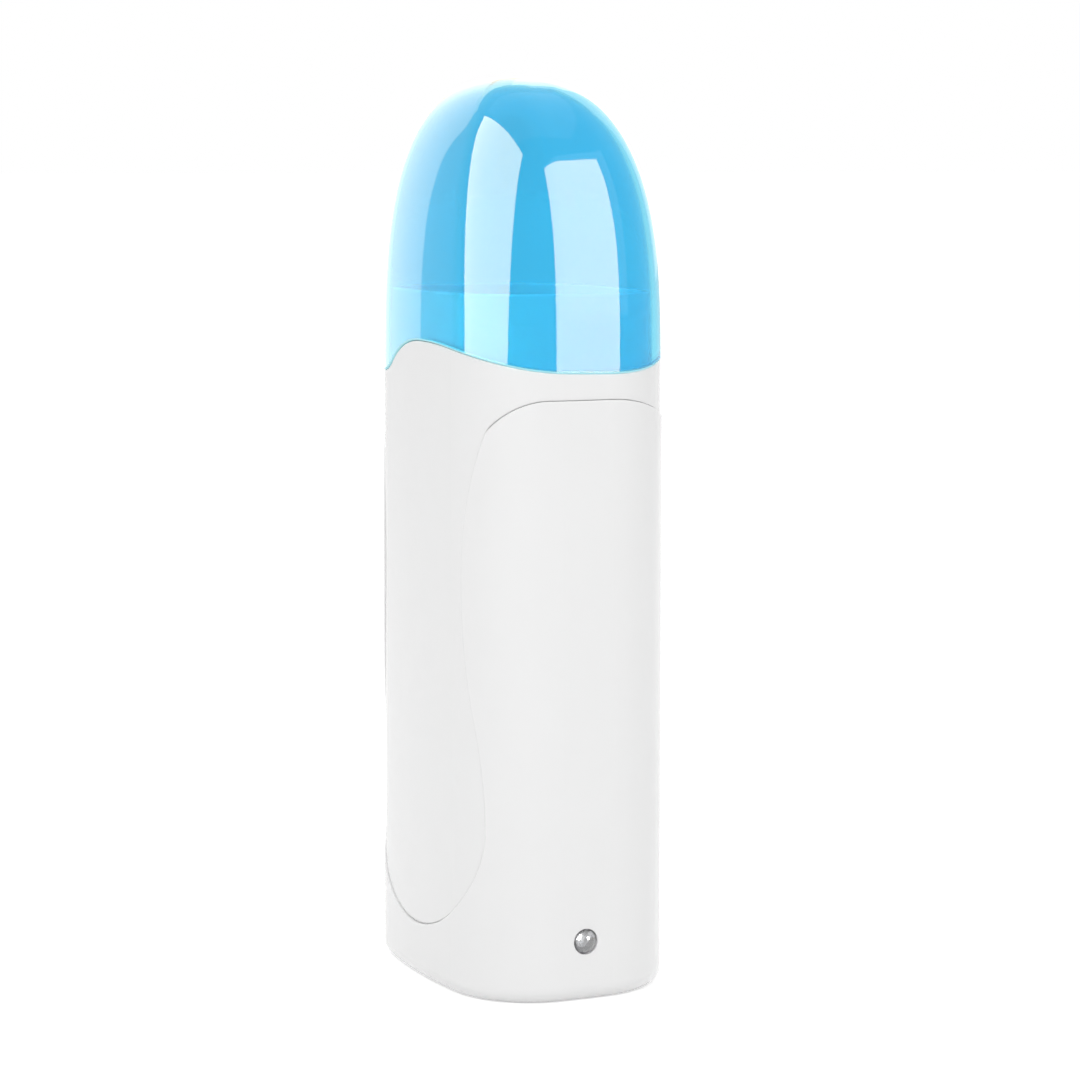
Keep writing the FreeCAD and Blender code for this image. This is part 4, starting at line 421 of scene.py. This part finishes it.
bmesh.ops.recalc_face_normals(bm, faces=bm.faces)
for face in bm.faces:
    face.smooth = True
cap_mesh = bpy.data.meshes.new("cap_shell")
bm.to_mesh(cap_mesh)
bm.free()
cap_shell = bpy.data.objects.new("cap_shell", cap_mesh)
scene.collection.objects.link(cap_shell)
wall = cap_shell.modifiers.new("wall", "SOLIDIFY")
wall.thickness = cap_wall
wall.offset = -1
wall.material_offset_rim = 1
lip = cap_shell.modifiers.new("lip", "BEVEL")
lip.width = 0.00035
lip.segments = 3
lip.limit_method = "ANGLE"
lip.angle_limit = math.radians(50)
lip.harden_normals = True
lip.material = 1

clear_blue, tree, shader = new_finish("clear_blue")
skin = tree.nodes.new("ShaderNodeGroup")
skin.node_tree = moulded_skin_group
skin.inputs["Ripple Scale"].default_value = 60.0
skin.inputs["Mottle Scale"].default_value = 25.0
depth = tree.nodes.new("ShaderNodeMix")
depth.data_type = "RGBA"
depth.inputs["A"].default_value = (0.11, 0.665, 0.895, 1)
depth.inputs["B"].default_value = (0.14, 0.695, 0.91, 1)
tree.links.new(skin.outputs["Mottle"], depth.inputs["Factor"])
tree.links.new(depth.outputs["Result"], shader.inputs["Base Color"])
relief = tree.nodes.new("ShaderNodeBump")
relief.inputs["Strength"].default_value = 0.05
relief.inputs["Distance"].default_value = 0.0004
tree.links.new(skin.outputs["Height"], relief.inputs["Height"])
tree.links.new(relief.outputs["Normal"], shader.inputs["Normal"])
shader.inputs["Roughness"].default_value = 0.04
shader.inputs["IOR"].default_value = 1.49
shader.inputs["Transmission Weight"].default_value = 1.0
cap_mesh.materials.append(clear_blue)
# The lip's rim and bevel are painted pale cyan and opaque: a painted highlight standing in for the
# light that the clear edge refracts.
cap_mesh.materials.append(moulded("lip_painted_highlight", (0.50, 0.93, 1.0), (0.42, 0.88, 0.98), 0.4, 0.55,
                                  ripple=2000.0, mottle=400.0, bump=0.1))
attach(cap_shell, "cap")
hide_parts("cap")

# Panels stand round the polished cap and light nothing else: two give the tall streaks each
# side of the viewer, the third the pale band along its far-left edge.  The narrow lamp that
# lifts the housing's corner is kept off the cap.
cap_only = bpy.data.collections.new("cap_only")
cap_only.objects.link(cap_shell)
low_cap = (0, 0, 0.15)
lamp("left_streak", around(9, 0.75, 0.56), low_cap, 1.2, 1.14, power=50, only=cap_only,
     tint=(1.0, 0.76, 0.42))
lamp("right_streak", around(114.5, 1.0, 0.43), low_cap, 0.58, 1.06, power=22, only=cap_only,
     tint=(1.0, 0.72, 0.42))
lamp("edge_band", around(-96, 1.0, 0.5), (0, 0, 0.5), 1.3, 1.2, power=7, only=cap_only,
     tint=(1.0, 0.8, 0.55))
not_cap = bpy.data.collections.new("not_cap")
not_cap.objects.link(cap_shell)
not_cap.collection_objects[0].light_linking.link_state = "EXCLUDE"
left_lamp.light_linking.receiver_collection = not_cap

# ------------------------------------------------------------------ cartridge well and plate
# The liner is moulded in a heat-proof matt grey; the heating plate that closes its window is
# an aluminium extrusion, and both show when the cap is off.
dress_node("cartridge_well", moulded("liner_grey", (0.72, 0.72, 0.70), (0.66, 0.66, 0.64), 0.42,
                                     0.55, ripple=1400.0, mottle=120.0, bump=0.12))


def drawn_metal():
    """Group: fine parallel lines left by rolling, drawing or extrusion."""
    group = bpy.data.node_groups.new("drawn_metal", "ShaderNodeTree")
    group.interface.new_socket("Stretch", in_out="INPUT", socket_type="NodeSocketVector")
    group.interface.new_socket("Lines", in_out="OUTPUT", socket_type="NodeSocketFloat")
    entry, leave = group.nodes.new("NodeGroupInput"), group.nodes.new("NodeGroupOutput")
    place = group.nodes.new("ShaderNodeTexCoord")
    stretch = group.nodes.new("ShaderNodeVectorMath")
    stretch.operation = "MULTIPLY"
    lines = group.nodes.new("ShaderNodeTexNoise")
    lines.inputs["Scale"].default_value = 1.0
    lines.inputs["Detail"].default_value = 5
    group.links.new(place.outputs["Object"], stretch.inputs[0])
    group.links.new(entry.outputs["Stretch"], stretch.inputs[1])
    group.links.new(stretch.outputs[0], lines.inputs["Vector"])
    group.links.new(lines.outputs["Fac"], leave.inputs["Lines"])
    return group


drawn_metal_group = drawn_metal()


def metal(name, light, dark, smooth, rough, stretch=(2500, 2500, 90)):
    """A rolled or drawn metal with its working lines."""
    finish, tree, shader = new_finish(name)
    drawn = tree.nodes.new("ShaderNodeGroup")
    drawn.node_tree = drawn_metal_group
    drawn.inputs["Stretch"].default_value = stretch
    tint = tree.nodes.new("ShaderNodeMix")
    tint.data_type = "RGBA"
    tint.inputs["A"].default_value = (*dark, 1)
    tint.inputs["B"].default_value = (*light, 1)
    gloss = tree.nodes.new("ShaderNodeMapRange")
    gloss.inputs["From Min"].default_value = 0.3
    gloss.inputs["From Max"].default_value = 0.7
    gloss.inputs["To Min"].default_value = smooth
    gloss.inputs["To Max"].default_value = rough
    relief = tree.nodes.new("ShaderNodeBump")
    relief.inputs["Strength"].default_value = 0.15
    relief.inputs["Distance"].default_value = 0.0001
    tree.links.new(drawn.outputs["Lines"], tint.inputs["Factor"])
    tree.links.new(tint.outputs["Result"], shader.inputs["Base Color"])
    tree.links.new(drawn.outputs["Lines"], gloss.inputs["Value"])
    tree.links.new(gloss.outputs["Result"], shader.inputs["Roughness"])
    tree.links.new(drawn.outputs["Lines"], relief.inputs["Height"])
    tree.links.new(relief.outputs["Normal"], shader.inputs["Normal"])
    shader.inputs["Metallic"].default_value = 1.0
    return finish


extruded = metal("extruded_aluminium", (0.80, 0.81, 0.83), (0.68, 0.69, 0.71), 0.28, 0.42)
dress_node("heat_plate", extruded)
dress_node("spring_rivet", extruded)

# ------------------------------------------------------------------ heating pack
# Behind the plate lie an amber film, two thin aluminium electrodes with two dark ceramic
# stones between them and a mica sheet, held down by two sprung steel straps and four screws.
dress_node("heater_film", moulded("amber_film", (0.72, 0.36, 0.07), (0.62, 0.29, 0.05), 0.15, 0.25,
                                  mottle=200.0, bump=0.02))
foil = metal("electrode_foil", (0.82, 0.82, 0.83), (0.70, 0.70, 0.72), 0.25, 0.4, (90, 2500, 2500))
dress_node("inner_electrode", foil)
dress_node("outer_electrode", foil)
dress_node("ptc_stones", moulded("pressed_stone", (0.19, 0.18, 0.17), (0.12, 0.115, 0.11), 0.6, 0.8,
                                 ripple=3000.0, mottle=600.0, bump=0.3))
dress_node("mica_sheet", moulded("mica", (0.60, 0.53, 0.40), (0.42, 0.36, 0.26), 0.25, 0.45,
                                 ripple=500.0, mottle=250.0, bump=0.1))
strap_steel = metal("strap_steel", (0.66, 0.66, 0.68), (0.54, 0.54, 0.56), 0.25, 0.4,
                    (90, 2500, 2500))
dress_node("heater_clamps", strap_steel)
dress_node("cartridge_spring", strap_steel)
zinc = metal("zinc_screw", (0.74, 0.75, 0.78), (0.60, 0.61, 0.64), 0.25, 0.4, (900, 900, 900))
dress_node("clamp_screws", zinc)
dress_node("base_screws", zinc)
tinned = metal("tinned_case", (0.78, 0.76, 0.72), (0.66, 0.64, 0.60), 0.2, 0.35, (300, 2000, 2000))
dress_node("thermal_fuse", tinned)

# ------------------------------------------------------------------ base and inlet
# The base cover is white plastic with a fine texture; two nickel-plated pins stand in its
# round-ended recess for the mains lead.
dress_node("base_cover", moulded("textured_white", (0.82, 0.82, 0.82), (0.77, 0.77, 0.77), 0.45,
                                 0.6, ripple=2600.0, mottle=150.0, bump=0.25))
dress_node("inlet_pins", metal("nickel_pin", (0.83, 0.81, 0.76), (0.72, 0.70, 0.66), 0.12, 0.25))

# ------------------------------------------------------------------ wiring
# Tinned sockets sit on the inlet pins.  A brown wire runs to the fuse and a blue one up to the
# neutral tab, each in a soft silicone sleeve; two thin white wires feed the lamp board.
dress_node("pin_lugs", tinned)
dress_node("tab_lugs", tinned)
for node, sleeve, light, dark in (
        ("live_wire", "brown_sleeve", (0.22, 0.11, 0.055), (0.17, 0.08, 0.04)),
        ("neutral_wire", "blue_sleeve", (0.06, 0.20, 0.50), (0.045, 0.15, 0.40)),
        ("lamp_wires", "white_sleeve", (0.80, 0.80, 0.78), (0.72, 0.72, 0.70))):
    dress_node(node, moulded(sleeve, light, dark, 0.4, 0.55, ripple=2000.0, mottle=300.0, bump=0.1))

# ------------------------------------------------------------------ indicator lamp
# A smoke-clear 5 mm lamp stands in the narrow side: a cast resin body with a round nose over a
# stamped lead frame.  It is soldered to a small laminate board with its resistor and its diode.
lamp_y, lamp_z, lamp_radius = -0.0006, 0.0122, 0.0025
lamp_back, rim_front, rim_radius, nose_start = 0.0250, 0.0260, 0.0029, 0.0318
nose_steps, spin_steps = 12, 48
bm = bmesh.new()
profile = [(lamp_back, 0.0), (lamp_back, rim_radius), (rim_front, rim_radius),
           (rim_front, lamp_radius)]
for i in range(nose_steps + 1):
    angle = math.pi / 2 * i / nose_steps
    profile.append((nose_start + lamp_radius * math.sin(angle), lamp_radius * math.cos(angle)))
line = [bm.verts.new((x, lamp_y, lamp_z + r)) for x, r in profile]
edges = [bm.edges.new(pair) for pair in zip(line, line[1:])]
bmesh.ops.spin(bm, geom=line + edges, cent=(0, lamp_y, lamp_z), axis=(1, 0, 0), angle=2 * math.pi,
               steps=spin_steps, use_merge=True)
bmesh.ops.remove_doubles(bm, verts=bm.verts, dist=1e-6)
bmesh.ops.recalc_face_normals(bm, faces=bm.faces)
for face in bm.faces:
    face.smooth = True
lens_mesh = bpy.data.meshes.new("lamp_lens")
bm.to_mesh(lens_mesh)
bm.free()
lens_mesh.set_sharp_from_angle(angle=math.radians(40))
lamp_lens = bpy.data.objects.new("lamp_lens", lens_mesh)
scene.collection.objects.link(lamp_lens)
resin, tree, shader = new_finish("smoke_resin")
skin = tree.nodes.new("ShaderNodeGroup")
skin.node_tree = moulded_skin_group
skin.inputs["Ripple Scale"].default_value = 400.0
skin.inputs["Mottle Scale"].default_value = 300.0
depth = tree.nodes.new("ShaderNodeMix")
depth.data_type = "RGBA"
depth.inputs["A"].default_value = (0.70, 0.71, 0.72, 1)
depth.inputs["B"].default_value = (0.78, 0.79, 0.80, 1)
tree.links.new(skin.outputs["Mottle"], depth.inputs["Factor"])
tree.links.new(depth.outputs["Result"], shader.inputs["Base Color"])
shader.inputs["Roughness"].default_value = 0.06
shader.inputs["IOR"].default_value = 1.52
shader.inputs["Transmission Weight"].default_value = 0.7
shader.inputs["Coat Weight"].default_value = 0.6
lens_mesh.materials.append(resin)
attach(lamp_lens, "housing")
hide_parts("led")

# The same two panels leave their bright spots on the round nose.
lens_only = bpy.data.collections.new("lens_only")
lens_only.objects.link(lamp_lens)
nose = (0, 0, 0.01)
lamp("lens_left", around(9, 0.75, 0.56), nose, 1.0, 1.0, power=50, only=lens_only)
lamp("lens_right", around(116, 1.0, 0.5), nose, 0.5, 0.6, power=18, only=lens_only)

# The lead frame: a small cup under the nose, and a wide and a narrow post behind it.
cup_x, post_x, post_length, post_height = 0.0309, 0.0279, 0.0052, 0.0006
bm = bmesh.new()
upright = Matrix.Rotation(math.pi / 2, 4, "Y")
bmesh.ops.create_cone(bm, cap_ends=True, segments=32, radius1=0.0005, radius2=0.0009, depth=0.0009,
                      matrix=Matrix.Translation((cup_x, lamp_y, lamp_z)) @ upright)
cup = max(bm.faces, key=lambda f: f.calc_center_median().x)
bmesh.ops.inset_individual(bm, faces=[cup], thickness=0.0003, depth=-0.0004)
for offset, width in ((-0.0008, 0.0010), (0.0012, 0.0005)):
    post = bmesh.ops.create_cube(bm, size=1.0)["verts"]
    bmesh.ops.scale(bm, vec=(post_length, width, post_height), verts=post)
    bmesh.ops.translate(bm, vec=(post_x, lamp_y + offset, lamp_z), verts=post)
    sides = list({edge for vert in post for edge in vert.link_edges})
    bmesh.ops.bevel(bm, geom=sides, offset=0.0001, offset_type="OFFSET", segments=2, profile=0.5,
                    affect="EDGES", material=-1)
bmesh.ops.recalc_face_normals(bm, faces=bm.faces)
frame_mesh = bpy.data.meshes.new("lamp_lead_frame")
bm.to_mesh(frame_mesh)
bm.free()
lead_frame = bpy.data.objects.new("lamp_lead_frame", frame_mesh)
scene.collection.objects.link(lead_frame)
frame_mesh.materials.append(metal("frame_steel", (0.74, 0.74, 0.75), (0.58, 0.58, 0.59), 0.2, 0.4,
                                  (900, 2500, 2500)))
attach(lead_frame, "housing")
dress_node("led_leads", tinned)
dress_node("led_board", moulded("laminate", (0.60, 0.45, 0.25), (0.50, 0.36, 0.19), 0.4, 0.55,
                                ripple=1800.0, mottle=900.0, bump=0.15))
dress_node("led_resistor", moulded("lacquer", (0.70, 0.60, 0.42), (0.62, 0.51, 0.34), 0.3, 0.4))
dress_node("led_diode", moulded("epoxy_black", (0.05, 0.05, 0.05), (0.03, 0.03, 0.03), 0.3, 0.45))
